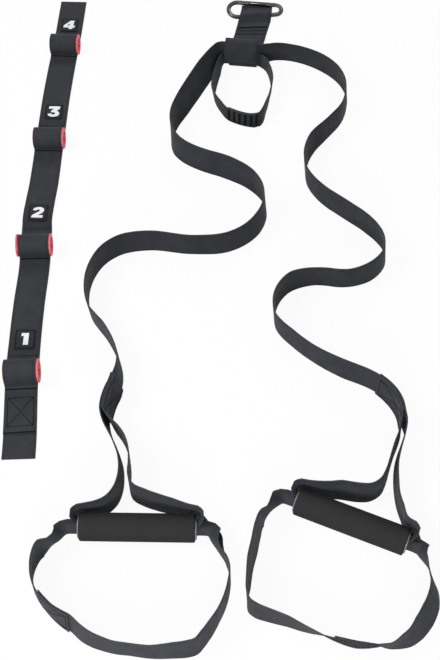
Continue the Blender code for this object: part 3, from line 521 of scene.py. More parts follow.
tubeHeight = redTube["flange"] + webbing["contact"]


def doorLine():
    points = [spot(x, y, halfThick / mm) for x, y in doorStrap["route"]]
    return smooth(laid(points, flat), sampling["door"])


def doorPlace(line, y):
    for (a, _, _), (b, _, _) in zip(line, line[1:]):
        if a.y <= y <= b.y:
            return a.lerp(b, (y - a.y) / (b.y - a.y)).x, (b - a).normalized()


def humpProfile(feet):
    rest = layerStep + halfThick
    radius = redTube["body"] + redTube["running"] + halfThick
    drop = tubeHeight - rest
    sides = []
    for foot, side in zip(feet, (-1, 1)):
        touch = math.acos(radius / math.hypot(foot, drop)) - math.atan2(drop, foot)
        edge = [(side * (foot + doorStrap["humpLead"]), rest), (side * foot, rest + doorStrap["humpRise"])]
        edge.append((side * radius * math.cos(touch), tubeHeight + radius * math.sin(touch)))
        sides.append((edge, touch))
    (front, frontTouch), (back, backTouch) = sides
    start, end = 180 - math.degrees(frontTouch), math.degrees(backTouch)
    return front + arc(0, tubeHeight, radius, start, end, doorStrap["humpCuts"])[1:-1] + back[::-1]


def doorLayer(line):
    rest, gap = layerStep + halfThick, doorStrap["apart"]
    low, high = [spot(0, y).y for y in doorStrap["layerEnds"]]
    runs = []
    for y, feet in zip(doorStrap["tubes"], doorStrap["humps"]):
        tube = spot(0, y).y
        x, heading = doorPlace(line, tube)
        profile = humpProfile(feet)
        runs.append([Vector((x + heading.x * along, tube + heading.y * along, height)) for along, height in profile])
    spans = [(hump[0].y - gap, hump[-1].y + gap) for hump in runs]
    runs += [[Vector((doorPlace(line, y)[0], y, rest))] for y in (low, high)]
    for point, _, _ in line:
        if low + gap < point.y < high - gap and all(point.y < front or point.y > back for front, back in spans):
            runs.append([Vector((point.x, point.y, rest))])
    runs.sort(key=lambda run: run[0].y)
    return laid([point for run in runs for point in run], flat)


def alongAt(band, y):
    for i, (a, b) in enumerate(zip(band["points"], band["points"][1:])):
        if a.y <= y <= b.y:
            return band["reach"][i] + (band["reach"][i + 1] - band["reach"][i]) * (y - a.y) / (b.y - a.y)


def makeDoorStrap():
    line = doorLine()
    facts = {"material": finishes["door"], "held": "laid", "slotName": "door_strap"}
    sheetPiece("doorStrapBase", layBand(smooth(line)), nodes=["door_strap_base"], **facts)
    fine = smooth(doorLayer(line))
    layer = layBand(fine, rises=[leftOf(doorPlace(line, point.y)[1]) for point, _, _ in fine])
    sheetPiece("doorStrapLoops", layer, restsOn=["doorStrapBase"], nodes=["door_strap_loops"], **facts)
    bm = bmesh.new()
    half = doorStrap["rowHalf"]
    for tube, crease, rows in zip(doorStrap["tubes"], doorStrap["creaseShadowRows"], doorStrap["rows"]):
        # wide dark row at each hump's front crease: a stitch row that is also the crease's painted shadow
        seam(bm, layer, alongAt(layer, spot(0, tube).y - crease), doorStrap["shadowRowHalf"])
        for row in rows:
            along = alongAt(layer, spot(0, tube).y + row)
            stitchLine(bm, layer, (along, -half), (along, half))
    # wide dark row at the top layer's end: a seam that is also the painted shadow of the layer's folded-under end
    seam(bm, layer, doorStrap["endSeamAndShadow"], doorStrap["shadowRowHalf"])
    stitchBox(bm, layer, *[alongAt(layer, spot(0, y).y) for y in doorStrap["box"]])
    makePiece(bm, "doorStrapStitching", finishes["thread"], slotName="door_strap")
    return line


line = makeDoorStrap()
print("door strap")


# A closed half section, given as (radius, along), spun round an axis
def spinProfile(profile, centre, axis, steps):
    bm = bmesh.new()
    axis = axis.normalized()
    side = leftOf(axis)
    verts = [bm.verts.new(centre + side * radius + axis * along) for radius, along in profile]
    edges = [bm.edges.new(pair) for pair in zip(verts, verts[1:] + verts[:1])]
    bmesh.ops.spin(
        bm, geom=verts + edges, cent=centre, axis=axis, angle=math.tau, steps=steps, use_merge=True,
    )
    bmesh.ops.remove_doubles(bm, verts=bm.verts, dist=weld["turned"])
    bmesh.ops.recalc_face_normals(bm, faces=bm.faces)
    return bm


def mirrored(profile):
    return [(radius, -along) for radius, along in reversed(profile)]


# A flange at each end, or a plain end instead of the second one
def tubeProfile(plainEnd):
    half, edge = redTube["length"] / 2, redTube["edge"]
    inner = half - redTube["flangeWide"]
    bore = redTube["bore"] + edge
    upper = arc(bore, half - edge, edge, 180, 90, 3)
    upper += arc(redTube["flange"] - edge, half - edge, edge, 90, 0, 3)
    upper += arc(redTube["flange"] - edge / 2, inner + edge / 2, edge / 2, 0, -90, 2)
    upper.append((redTube["body"], inner))
    if not plainEnd:
        return upper + mirrored(upper)
    half = redTube["plainHalf"]
    lower = arc(redTube["body"] - edge, edge - half, edge, 0, -90, 3)
    return upper + lower + arc(bore, edge - half, edge, -90, -180, 3)


def makeRedTubes():
    for number, y in enumerate(doorStrap["tubes"], start=1):
        level = spot(0, y).y
        x, heading = doorPlace(line, level)
        profile = tubeProfile(number in redTube["plainEnds"])
        bm = spinProfile(profile, Vector((x, level, tubeHeight)), -leftOf(heading), redTube["steps"])
        makePiece(
            bm, f"redTube{number}", finishes["red"], body=f"tube_{number}", slotName="red_tube",
            nodes=[f"red_tube_{number}"], sharp=40,
        )


makeRedTubes()
print("red tubes")

# Number patches, sewn on above the tubes, and their numerals
patch = {
    "leads": (55, 66, 64, 57), "wide": 0.026, "high": 0.029, "thick": 0.0009, "edge": 0.0003,
    "corner": 0.002, "border": 0.0016, "seam": 0.0018, "pitch": 0.0026, "gap": 0.06, "lift": 0.1,
}
# Bold numerals, each as outlines in hundredths of its height
numeral = {
    "heights": (0.0178, 0.0186, 0.0212, 0.0192), "thick": 0.00012, "slants": (0.02, 0.06, 0.02, 0.1),
    "outlines": {
        1: [[(17, 0), (52, 0), (52, 100), (0, 100), (0, 74), (17, 78)]],
        2: [[
            (0, 0), (80, 0), (80, 24), (44, 24), (70, 46), (79, 58), (81, 74), (75, 90), (60, 99), (40, 101),
            (20, 98), (5, 88), (-2, 72), (25, 68), (30, 76), (40, 79), (48, 76), (51, 69), (47, 60), (34, 49), (0, 22),
        ]],
        3: [[
            (0, 27), (8, 10), (24, 1), (42, -1), (62, 3), (76, 14), (81, 30), (76, 46), (60, 56), (80, 78),
            (80, 100), (4, 100), (4, 77), (42, 77), (22, 58), (22, 43), (38, 43), (49, 39), (53, 31), (48, 23),
            (38, 20), (28, 23), (25, 32),
        ]],
        4: [
            [
                (42, 0), (71, 0), (71, 17), (86, 17), (86, 40), (71, 40), (71, 100), (40, 100), (-4, 41), (-4, 17),
                (42, 17),
            ],
            [(42, 40), (24, 40), (42, 67)],
        ],
    },
}


def patchMatrix(number):
    lead = patch["leads"][number - 1]
    level = spot(0, doorStrap["tubes"][number - 1] + lead).y
    x, heading = doorPlace(line, level)
    bottom = layerStep + webbing["thick"] + webbing["contact"]
    turn = math.atan2(heading.y, heading.x) - math.pi / 2
    return Matrix.Translation((x, level, bottom)) @ Matrix.Rotation(turn, 4, "Z")


def makePatch(number):
    matrix = patchMatrix(number)
    bm = bmesh.new()
    bmesh.ops.create_cube(bm, size=1.0)
    bmesh.ops.scale(bm, vec=(patch["wide"], patch["high"], patch["thick"]), verts=bm.verts)
    bmesh.ops.translate(bm, vec=(0, 0, patch["thick"] / 2), verts=bm.verts)
    posts = [e for e in bm.edges if abs(e.verts[0].co.z - e.verts[1].co.z) > patch["thick"] / 2]
    bmesh.ops.bevel(
        bm, geom=posts, offset=patch["corner"], segments=4, profile=0.5, affect="EDGES", material=-1,
    )
    top = [f for f in bm.faces if f.normal.z > 0.9]
    bmesh.ops.inset_region(bm, faces=top, thickness=patch["edge"], depth=0.0, use_even_offset=True)
    rim = [v for v in bm.verts if v.co.z > patch["thick"] / 2 and v not in top[0].verts]
    bmesh.ops.translate(bm, vec=(0, 0, -patch["edge"]), verts=rim)
    bmesh.ops.transform(bm, matrix=matrix, verts=bm.verts)
    makePiece(
        bm, f"numberPatch{number}", finishes["patch"], slotName="number_patch",
        nodes=[f"number_patch_{number}"], sharp=30,
    )
    return matrix


def makePatchStitches(number, matrix):
    bm = bmesh.new()
    x, y = patch["wide"] / 2 - patch["border"], patch["high"] / 2 - patch["border"]
    height = patch["thick"] + thread["high"] * patch["lift"]
    corners = [Vector((*corner, height)) for corner in ((-x, -y), (x, -y), (x, y), (-x, y))]
    for start, end in zip(corners, corners[1:] + corners[:1]):
        count = round((end - start).length / patch["pitch"])
        for k in range(count):
            a = matrix @ start.lerp(end, (k + patch["gap"]) / count)
            b = matrix @ start.lerp(end, (k + 1 - patch["gap"]) / count)
            addBead(bm, a, b, up, patch["seam"], thread["high"])
    makePiece(bm, f"patchStitching{number}", finishes["thread"], slotName="number_patch")


def makeNumeral(number, matrix):
    shape = bpy.data.curves.new(f"numeral {number}", "CURVE")
    shape.dimensions = "2D"
    shape.fill_mode = "BOTH"
    shape.extrude = numeral["thick"]
    for outline in numeral["outlines"][number]:
        spline = shape.splines.new("POLY")
        spline.points.add(len(outline) - 1)
        spline.use_cyclic_u = True
        for point, (x, y) in zip(spline.points, outline):
            point.co = (x / 100, y / 100, 0.0, 1.0)
    source = addObject("numeral shape", shape)
    evaluated = source.evaluated_get(bpy.context.evaluated_depsgraph_get())
    bm = bmesh.new()
    bm.from_mesh(bpy.data.meshes.new_from_object(evaluated))
    bpy.data.objects.remove(source, do_unlink=True)
    bmesh.ops.remove_doubles(bm, verts=bm.verts, dist=weld["numeral"])
    size = numeral["heights"][number - 1]
    sides = [v.co.x for v in bm.verts]
    middle = Matrix.Translation((-(min(sides) + max(sides)) / 2, -0.5, 0))
    slant = Matrix.Identity(4)
    slant[0][1] = numeral["slants"][number - 1]
    place = matrix @ Matrix.Translation((0, 0, patch["thick"] + numeral["thick"]))
    place = place @ Matrix.Diagonal((size, size, 1, 1)) @ slant @ middle
    bmesh.ops.transform(bm, matrix=place, verts=bm.verts)
    makePiece(bm, f"numeral{number}", finishes["numeral"], slotName="number_patch", sharp=30)


for number in range(1, 5):
    matrix = makePatch(number)
    makePatchStitches(number, matrix)
    makeNumeral(number, matrix)
print("number patches")

# Grips: a foam tube on a plastic tube
grips = {
    "left": {"centre": (-91.7, -279.0), "turn": -0.9},
    "right": {"centre": (146.5, -271.5), "turn": -22.9},
}
gripTube = {"length": 0.132, "bore": 0.0115, "wall": 0.0015, "edge": 0.0005, "shows": 0.0015}
foam = {
    "radius": 0.016, "length": gripTube["length"] - 2 * gripTube["shows"], "edge": 0.0022, "steps": 96, "cuts": 40,
    "fill": 0.95,
}


def gripMatrix(side):
    grip = grips[side]
    centre = spot(*grip["centre"], foam["radius"] / mm)
    return Matrix.Translation(centre) @ Matrix.Rotation(math.radians(grip["turn"]), 4, "Z")


def foamProfile():
    half, edge = foam["length"] / 2, foam["edge"]
    inside = gripTube["bore"] + gripTube["wall"] + webbing["contact"]
    upper = arc(foam["radius"] - edge, half - edge, edge, 90, 0, 5)
    run = (foam["length"] - 2 * edge) / foam["cuts"]
    middle = [(foam["radius"], half - edge - run * k) for k in range(1, foam["cuts"])]
    return [(inside, half)] + upper + middle + mirrored(upper) + [(inside, -half)]


def gripTubeProfile():
    half, edge = gripTube["length"] / 2, gripTube["edge"]
    outside = gripTube["bore"] + gripTube["wall"]
    upper = arc(gripTube["bore"] + edge, half - edge, edge, 180, 90, 3)
    upper += arc(outside - edge, half - edge, edge, 90, 0, 3)
    return upper + mirrored(upper)


def makeGrip(side):
    matrix = gripMatrix(side)
    axis = matrix.to_3x3() @ Vector((1, 0, 0))
    for kind, profile, finish in (("foam", foamProfile(), "foam"), ("tube", gripTubeProfile(), "gripPlastic")):
        bm = spinProfile(profile, matrix.translation, axis, foam["steps"])
        piece = makePiece(
            bm, f"grip{kind.title()}{side.title()}", finishes[finish], body=f"grip_{side}", slotName=f"grip_{kind}",
            nodes=[f"grip_{kind}_{side}"],
        )


for side in grips:
    makeGrip(side)
print("grips")

# Sleeve that wraps the main strap and the locking loop
sleeve = {
    "left": (8.0, 494.0), "right": (56.0, 488.5), "innerThick": 0.008, "headroom": 0.003,
    "corner": 0.0022, "overrun": 0.001, "runIn": 0.006,
}


def sleeveMatrix():
    left, right = spot(*sleeve["left"]), spot(*sleeve["right"])
    run = (right - left).normalized()
    matrix = Matrix((run, leftOf(run), up)).transposed().to_4x4()
    return Matrix.Translation((left + right) / 2) @ matrix


sleeveHalf = (spot(*sleeve["right"]) - spot(*sleeve["left"])).length / 2


def sleevePass(shift, lift, width):
    matrix = sleeveMatrix()
    height = webbing["contact"] + webbing["thick"] + lift + width / 2
    mouth = sleeveHalf + sleeve["overrun"]
    inside = mouth - sleeve["runIn"]
    return laid([matrix @ Vector((along, shift, height)) for along in (-mouth, -inside, inside, mouth)])


# Main strap: x and y of its lower edge in layout mm, its lean in degrees, and its lift in mm
mainStrap = {
    "left": [
        (0.5, 491.3, -7, 1.5), (-3.5, 482, -14, 1.1), (-7, 470, -22, 0.6), (-15, 452, -27), (-31, 418, -26),
        (-47, 385, -22), (-63, 352, -11), (-69, 327, 0), (-65, 305, 7), (-52, 289, 8), (-29, 274, 9),
        (9, 257, 11), (42, 236, 5), (59, 214, -3), (63, 188, -7), (52, 157, -8), (30, 136, -4), (9, 126, -2),
        (-34, 123, 1), (-98, 129, -1), (-130, 122, -2), (-150, 107, -2), (-166, 76, -2), (-169, 44, -3),
        (-160, 12, -6), (-143, -13, -3), (-130, -37, -3), (-121, -61, -5), (-119, -78, -9), (-120, -90, -12),
        (-122, -101, -13), (-126, -112, -13), (-129, -124, -13), (-130, -137, -13),
    ],
    "right": [
        (70, 495, -6, 1.1), (83, 500, -9, 0.5), (107, 499, -11), (131, 490, -10), (155, 474, -8),
        (177, 449, -8), (187, 419, -8), (185, 398, -5), (176, 368, -3), (154, 336, -4), (132, 305, -9),
        (121, 275, -7), (122, 244, -5), (138, 214, -2), (168, 185, -1), (198, 157, -2), (217, 129, -7),
        (216, 102, -6), (196, 78, -4), (165, 68, 2), (123, 71, 3), (91, 60, -4), (72, 32, -5), (72, -1, -5),
        (90, -25, -3), (116, -49, -3), (152, -73, 1), (178, -85, 0), (190, -93, 0), (200, -104, 1),
        (208, -116, 1), (213, -128, 0), (214.5, -141, 0),
    ],
    "shift": 0.0006, "lift": 0.0004, "sewnPoints": 5,
}


def makeMainStrap():
    stations = backwards(standing(mainStrap["left"]))
    stations += sleevePass(mainStrap["shift"], mainStrap["lift"], webbing["width"]) + standing(mainStrap["right"])
    coarse = smooth(stations, sampling["band"])
    sheetPiece("mainStrap", layBand(smooth(coarse)), finishes["strap"], "laid", nodes=["main_strap"])
    count = mainStrap["sewnPoints"] + 1
    return {"left": backwards(coarse[:count]), "right": coarse[-count:]}


sewnEnds = makeMainStrap()
print("main strap")

# Handle straps: from the main strap, through the grip's bore and back
handleStrap = {
    "left": {
        "first": [
            (-128, -156, -10), (-122, -170, -8), (-117, -183, -7), (-113, -196, -6), (-111, -212, -5),
            (-112, -229, -5), (-117, -244, -5), (-128, -255, -3),
        ],
        "second": [
            (-122, -151, -6), (-115, -161, -4), (-109, -173, -2), (-105, -190, 0), (-103, -208, -1),
            (-103, -224, -1), (-99, -237, 2), (-85, -246, 4), (-68, -252, 3), (-52, -256, 1),
        ],
    },
    "right": {
        "first": [
            (213, -155, -4), (208, -170, -3), (202, -184, -3), (195, -204, -3), (190, -219, -4),
            (183, -232, -5), (172, -239, -5), (155, -240, -6), (137, -237, -6), (122, -236, -3),
        ],
        "second": [
            (219, -154, -3), (215, -165, 0), (209, -178, 3), (204, -193, 3), (201, -210, 1),
            (200, -230, 0), (201, -247, -2), (204, -262, -2),
        ],
    },
    "curlRadius": gripTube["bore"] - webbing["seamGap"] - halfThick,
    "reach": 0.0060, "lead": 0.010, "flare": 0.0012, "clearance": 0.001,
    "shares": (0.0, 0.0, 0.05, 0.13, 0.32, 0.6, 0.84), "leans": (7, 10, 12, 13, 11, 5, 0), "leadLean": 4,
    "mouth": (0.001, -0.006), "boxInset": 0.004,
}


def gripStation(matrix, along, across, height, curl, lean=0.0):
    point = matrix @ Vector((along, across, 0.0))
    return (Vector((point.x, point.y, height)), math.radians(lean), curl)


def foldStations(matrix, end):
    facts = handleStrap
    legOffset = foam["radius"] + facts["clearance"] + halfThick
    radius = (legOffset - facts["curlRadius"]) / 2
    middle = (legOffset + facts["curlRadius"]) / 2
    start = gripTube["length"] / 2 + facts["reach"] - radius
    full = webbing["width"] / facts["curlRadius"]
    height = webbing["contact"] + webbing["width"] / 2
    drop = height - foam["radius"]
    lead = end * (start - facts["lead"])
    stations = [gripStation(matrix, lead, legOffset + facts["flare"], height, 0.0, facts["leadLean"])]
    turn = arc(middle, start, radius, 0, 180, len(facts["shares"]) - 1)
    for (across, along), share, lean in zip(turn, facts["shares"], facts["leans"]):
        stations.append(gripStation(matrix, end * along, across, height - drop * share**2, full * share, lean))
    for beyond in facts["mouth"]:
        along = end * (gripTube["length"] / 2 + beyond)
        stations.append(gripStation(matrix, along, facts["curlRadius"], foam["radius"], full))
    return stations


def makeHandleStrap(side):
    matrix, legs, sewn, name = gripMatrix(side), handleStrap[side], sewnEnds[side], side.title()
    stations = beside(sewn, -layerStep) + standing(legs["first"]) + foldStations(matrix, -1)
    stations += foldStations(matrix, 1)[::-1]
    stations += backwards(standing(legs["second"])) + backwards(beside(sewn, layerStep))
    band = layBand(smooth(smooth(stations, sampling["loft"])[1:-1]))
    sheetPiece(
        f"handleStrap{name}", band, finishes["strap"], "folded", [f"gripTube{name}"], nodes=[f"handle_strap_{side}"],
    )
    sewnBoxes(f"handleStitching{name}", band, sewn, handleStrap["boxInset"], (1, 1))


for side in grips:
    makeHandleStrap(side)
print("handle straps")

# Foot loops: sewn to a ring through the grip's bore, inside the handle strap's curl
footLoop = {
    "left": {
        "sewn": [(-192, -361.5, -1), (-185, -370, 0), (-177, -378.5, 1), (-168.5, -386, 4), (-160, -392, 6)],
        "out": [
            (-146, -403, 6), (-135, -409, 4), (-123, -413, 2), (-111, -416, 0), (-94, -418, -1),
            (-72, -421, 0), (-50, -421, 4), (-34, -420, 6), (-24, -417, 6), (-16, -408, 6), (-8, -396, 5),
            (-1, -382, 2), (6, -366, 2), (10, -350, 2), (11, -334, 1), (8, -319, 4),
        ],
        "back": [(-195, -307, -5), (-203, -321, 0), (-205, -334, 3), (-201, -348, 1)],
        "mouths": {
            1: (
                (0.0150, 0.0050, 0.74, 6), (0.0180, 0.0108, 0.46, 10), (0.0222, 0.0172, 0.24, 12),
                (0.0270, 0.0246, 0.09, 9),
            ),
            -1: (
                (0.0150, 0.0040, 0.74, 6), (0.0184, 0.0086, 0.46, 10), (0.0236, 0.0130, 0.24, 12),
                (0.0300, 0.0168, 0.09, 8),
            ),
        },
    },
    "right": {
        "sewn": [(121, -398, -24), (132, -400.5, -27), (143, -403, -28), (155, -405, -25), (166, -407.5, -19)],
        "out": [
            (176, -410, -12), (188, -411, 2), (201, -409, 13), (214, -401, 22), (227, -386, 26),
            (236, -367, 25), (237, -349, 20), (231, -331, 13),
        ],
        "back": [
            (49.5, -269.5, -6), (45, -285, -10), (41, -304, -10), (36, -323, -9), (33, -343, -7),
            (30, -360, -3), (31, -371, 1), (38, -377, 2), (50, -381, 0), (61, -384, -2), (73, -387, -5),
            (85, -391, -9), (97, -394, -14), (109, -396, -20),
        ],
        "mouths": {
            1: (
                (0.0150, 0.0026, 0.62, 4), (0.0182, 0.0052, 0.36, 8), (0.0224, 0.0080, 0.16, 11),
                (0.0278, 0.0112, 0.04, 13),
            ),
            -1: (
                (0.0150, 0.0046, 0.74, 6), (0.0180, 0.0100, 0.46, 9), (0.0210, 0.0164, 0.24, 9),
                (0.0232, 0.0228, 0.09, 4),
            ),
        },
    },
    "curlRadius": handleStrap["curlRadius"] - webbing["thick"] - webbing["nestGap"], "boxInset": 0.003,
    "mouth": ((-0.006, 0.0, 1.0, 0), (0.001, 0.0, 1.0, 0), (0.0080, 0.0, 1.0, 0), (0.0126, 0.0006, 0.95, 0)),
}


def mouthStations(side, matrix, end):
    full = webbing["width"] / footLoop["curlRadius"]
    rise = webbing["width"] / 2 - foam["radius"]
    stations = []
    # How far beyond the grip's end and out from its axis, the share of the curl and the lean
    for beyond, outward, share, lean in footLoop["mouth"] + footLoop[side]["mouths"][end]:
        along = end * (gripTube["length"] / 2 + beyond)
        across = -footLoop["curlRadius"] - outward
        height = foam["radius"] + rise * (1 - share)
        stations.append(gripStation(matrix, along, across, height, full * share, lean))
    return stations


def makeFootLoop(side):
    matrix, route, name = gripMatrix(side), footLoop[side], side.title()
    sewn = standing(route["sewn"])
    stations = beside(sewn, layerStep / 2) + standing(route["out"])
    stations += mouthStations(side, matrix, 1)[::-1] + mouthStations(side, matrix, -1)
    stations += standing(route["back"]) + beside(sewn, -layerStep / 2)
    band = layBand(smooth(smooth(stations, sampling["loft"])))
    facts = {"body": f"foot_loop_{side}", "slotName": "foot_loop"}
    sheetPiece(
        f"footLoop{name}", band, finishes["foot"], "folded", [f"gripTube{name}"], nodes=[f"foot_loop_{side}"],
        **facts,
    )
    sewnBoxes(f"footStitching{name}", band, sewn, footLoop["boxInset"], (-1, 1), **facts)


for side in grips:
    makeFootLoop(side)
print("foot loops")

# Locking loop: a narrow band through the sleeve, closed with bar tacks
lockingLoop = {
    "width": 0.025, "shift": -0.0021, "lift": 0.0004,
    "sewn": [(12, 374, -2), (21, 368, 0), (32, 363, 0), (42, 360, 1), (51, 358.5, 6)],
    "out": [
        (58, 361, 9), (63, 370, 7), (66, 385, 1), (70, 402, -3), (73, 418, -4), (76, 435, -4),
        (75.5, 451, -3), (73, 465, -1, 0.6), (69, 475.5, -1, 1.1), (63.5, 482, 0, 1.5),
    ],
    "back": [
        (3.6, 486.5, -3, 1.5), (2, 478, -8, 1.1), (0.5, 467, -13, 0.6), (-3, 452, -13), (-6, 435, -13),
        (-8, 418, -10), (-4, 401, -5), (3, 386, -2),
    ],
    "tacks": (0.002, 0.0105, 0.019, 0.0275, 0.036, 0.0435),
    "tack": {
        "half": 0.0105, "length": 0.0034, "threads": 26, "slant": 0.0004, "lift": 0.00025, "overlap": 1.2,
        "high": 0.0009,
    },
}


def barTack(bm, band, along, face):
    tack = lockingLoop["tack"]
    offset = face * (halfThick + tack["lift"])
    pitch = 2 * tack["half"] / tack["threads"]
    for k in range(tack["threads"]):
        across = pitch * (k + 0.5) - tack["half"]
        middle = along + tack["slant"] * (1 if k % 2 else -1)
        a, b = [onBand(band, middle + side * tack["length"] / 2, across, offset) for side in (-1, 1)]
        inner, outer = [onBand(band, along, across, offset + rise) for rise in (0.0, face * thread["probe"])]
        addBead(bm, a, b, (outer - inner).normalized(), tack["overlap"] * pitch, tack["high"])


def makeLockingLoop():
    facts, width = lockingLoop, lockingLoop["width"]
    sewn = standing(facts["sewn"], width)
    stations = beside(sewn, layerStep / 2) + standing(facts["out"], width)
    stations += backwards(sleevePass(facts["shift"], facts["lift"], width))
    stations += standing(facts["back"], width) + beside(sewn, -layerStep / 2)
    band = layBand(smooth(smooth(stations, sampling["loop"])), width)
    sheetPiece("lockingLoop", band, finishes["foot"], "laid", nodes=["locking_loop"])
    bm = bmesh.new()
    for along in facts["tacks"]:
        barTack(bm, band, along, -1)
        barTack(bm, band, band["reach"][-1] - runOf(sewn) + along, 1)
    makePiece(bm, "lockingLoopTacks", finishes["thread"])


makeLockingLoop()
print("locking loop")

# Sleeve and its outer flap, which ends on the front above the floor
flap = {
    "gap": 0.0002, "backEnd": 0.0425, "shift": -0.0009, "width": 0.0464, "ringShift": 0.0030, "ringWidth": 0.0422,
    "bulge": (
        (0.0010, 0.0395), (0.0028, 0.034), (0.0042, 0.028), (0.0046, 0.022), (0.0034, 0.0165), (0.0012, 0.0115),
    ),
    "archCuts": 12, "cornerCuts": 4,
}


def makeSleeve():
    matrix, corner, backEnd = sleeveMatrix(), sleeve["corner"], flap["backEnd"]
    radius = (sleeve["innerThick"] + webbing["thick"]) / 2
    lift = webbing["contact"] + halfThick
    top = webbing["width"] + sleeve["headroom"] + webbing["thick"] - radius + lift
    ring = arc(0, top, radius, 0, 180, flap["archCuts"])
    for side, start in ((-1, 180), (1, 270)):
        ring += arc(side * (radius - corner), corner + lift, corner, start, start + 90, flap["cornerCuts"])
    outer = radius + webbing["thick"] + flap["gap"]
    arch = [(y, z) for y, z in arc(0, top, outer, 0, 180, flap["archCuts"]) if z > backEnd or y < 0]
    path = [(outer, backEnd)] + arch + [(-outer - out, z) for out, z in flap["bulge"]]
    ringStations = laid([matrix @ Vector((flap["ringShift"], y, z)) for y, z in ring + ring[:1]])
    flapStations = smooth(laid([matrix @ Vector((flap["shift"], y, z)) for y, z in path]))
    for name, stations, width, facts in (
        ("anchorSleeve", ringStations, flap["ringWidth"], {"nodes": ["anchor_sleeve"]}),
        ("sleeveFlap", flapStations, flap["width"], {}),
    ):
        rises = [matrix.to_3x3() @ Vector((1, 0, 0))] * len(stations)
        sheetPiece(name, layBand(stations, width, rises), finishes["strap"], "folded", **facts)


makeSleeve()

# Anchor strap: its plan line in layout mm up to the clip, how it comes down the sleeve's back
# in mm (gap to the back, height), and how it goes round the clip's spine and turns back beyond it
anchorStrap = {
    "width": 0.048, "plan": [(33.5, 497), (40, 527), (47, 556)], "beyond": 0.040, "turn": 4.0,
    "back": [(0.3, 41), (0.3, 30), (1.4, 20), (5.3, 11.5), (12.3, 5.5), (22.3, 1.8), (34, 0.75), (54, 0.75)],
    "foldAt": 0.0270, "foldRadius": 0.0017, "foldSteps": 10, "dip": (0.0165, 0.0064), "dropAt": 0.0135,
    "clearOf": 0.006, "pushedTo": 0.17,
    "wrapGap": 0.0005, "wrapSteps": 14, "rowTurn": 0.064,
    "rows": (0.0257, 0.0269, 0.0281, 0.0348, 0.0429), "rowHalf": 0.0215,
}
clip = {
    "wire": 0.0068, "bigBow": 0.0138, "smallBow": 0.009, "apart": 0.0597, "spineStart": -0.0280,
    "place": (56.5, 597.3), "turn": 5.5, "rise": 12.8, "seatGap": 0.0006,
    "gateLength": 0.037, "hingeInset": 0.003, "tongueThick": 0.0022, "tongueLength": 0.006,
    "noseTongue": 0.0042, "eye": 0.0031, "contact": 0.0003, "step": 0.0015, "bowCuts": 24, "wireCuts": 20,
}


def clipHeight():
    return webbing["thick"] + clip["seatGap"] + clip["wire"] / 2


def clipMatrix():
    matrix = Matrix.Translation(spot(*clip["place"], clipHeight() / mm))
    matrix = matrix @ Matrix.Rotation(math.radians(clip["turn"]), 4, "Z")
    return matrix @ Matrix.Rotation(math.radians(clip["rise"]), 4, "X")


# The shortest way over the spine between two points beside it
def overSpine(far, near):
    spine = Vector((0.0, clipHeight()))
    radius = clip["wire"] / 2 + halfThick + anchorStrap["wrapGap"]
    touches = []
    for point, side in ((far, 1), (near, -1)):
        gap = point - spine
        bearing = math.atan2(gap.y, gap.x) % math.tau
        if side > 0 and bearing > math.pi:
            bearing -= math.tau
        touches.append(bearing + side * math.acos(radius / gap.length))
    start, end = [math.degrees(touch) for touch in touches]
    return [Vector(point) for point in arc(*spine, radius, start, end, anchorStrap["wrapSteps"])]


# Distance and height from the sleeve out round the clip and back, and where the top of the spine is
def anchorProfile(spineAt):
    facts, face = anchorStrap, halfThick
    lower = [Vector((face + u * mm, z * mm)) for u, z in facts["back"] if u * mm < spineAt - facts["dropAt"]]
    runs = [(b - a).normalized() for a, b in zip(lower, lower[1:])]
    runs = [runs[0]] + runs + [runs[-1]]
    upper = []
    for point, before, after in zip(lower, runs, runs[1:]):
        bend = (before + after).normalized()
        upper.append(point + Vector((-bend.y, bend.x)) * layerStep / bend.dot(after))
    bend = facts["foldRadius"]
    turn = [Vector(point) for point in arc(facts["foldAt"], face + bend, bend, -90, 90, facts["foldSteps"])]
    dip = Vector(facts["dip"])
    drop = Vector((-facts["dropAt"], face + layerStep))
    loop = turn + [dip] + overSpine(dip, drop) + [drop]
    shift = Vector((spineAt, 0.0))
    crown = len(lower) + len(turn) + 1 + facts["wrapSteps"] // 2
    return lower + [point + shift for point in loop] + list(reversed(upper)), crown


def distanceAlong(points, reach, target):
    i = min(range(len(points) - 1), key=lambda k: (points[k] - target).length)
    return reach[i] + (target - points[i]).dot((points[i + 1] - points[i]).normalized())


# Level with the sleeve at its back, with the spine at the clip, else square to the strap
def anchorRow(square, along, spineAt):
    atSleeve = min(1.0, max(0.0, 2 - 2 * along / anchorStrap["rowTurn"]))
    atClip = min(1.0, max(0.0, 2 * (along - spineAt) / anchorStrap["rowTurn"] + 2))
    row = square * (1 - atSleeve - atClip)
    row -= sleeveMatrix().to_3x3().col[0] * atSleeve
    row -= clipMatrix().to_3x3().col[0] * atClip
    return row / row.dot(square)


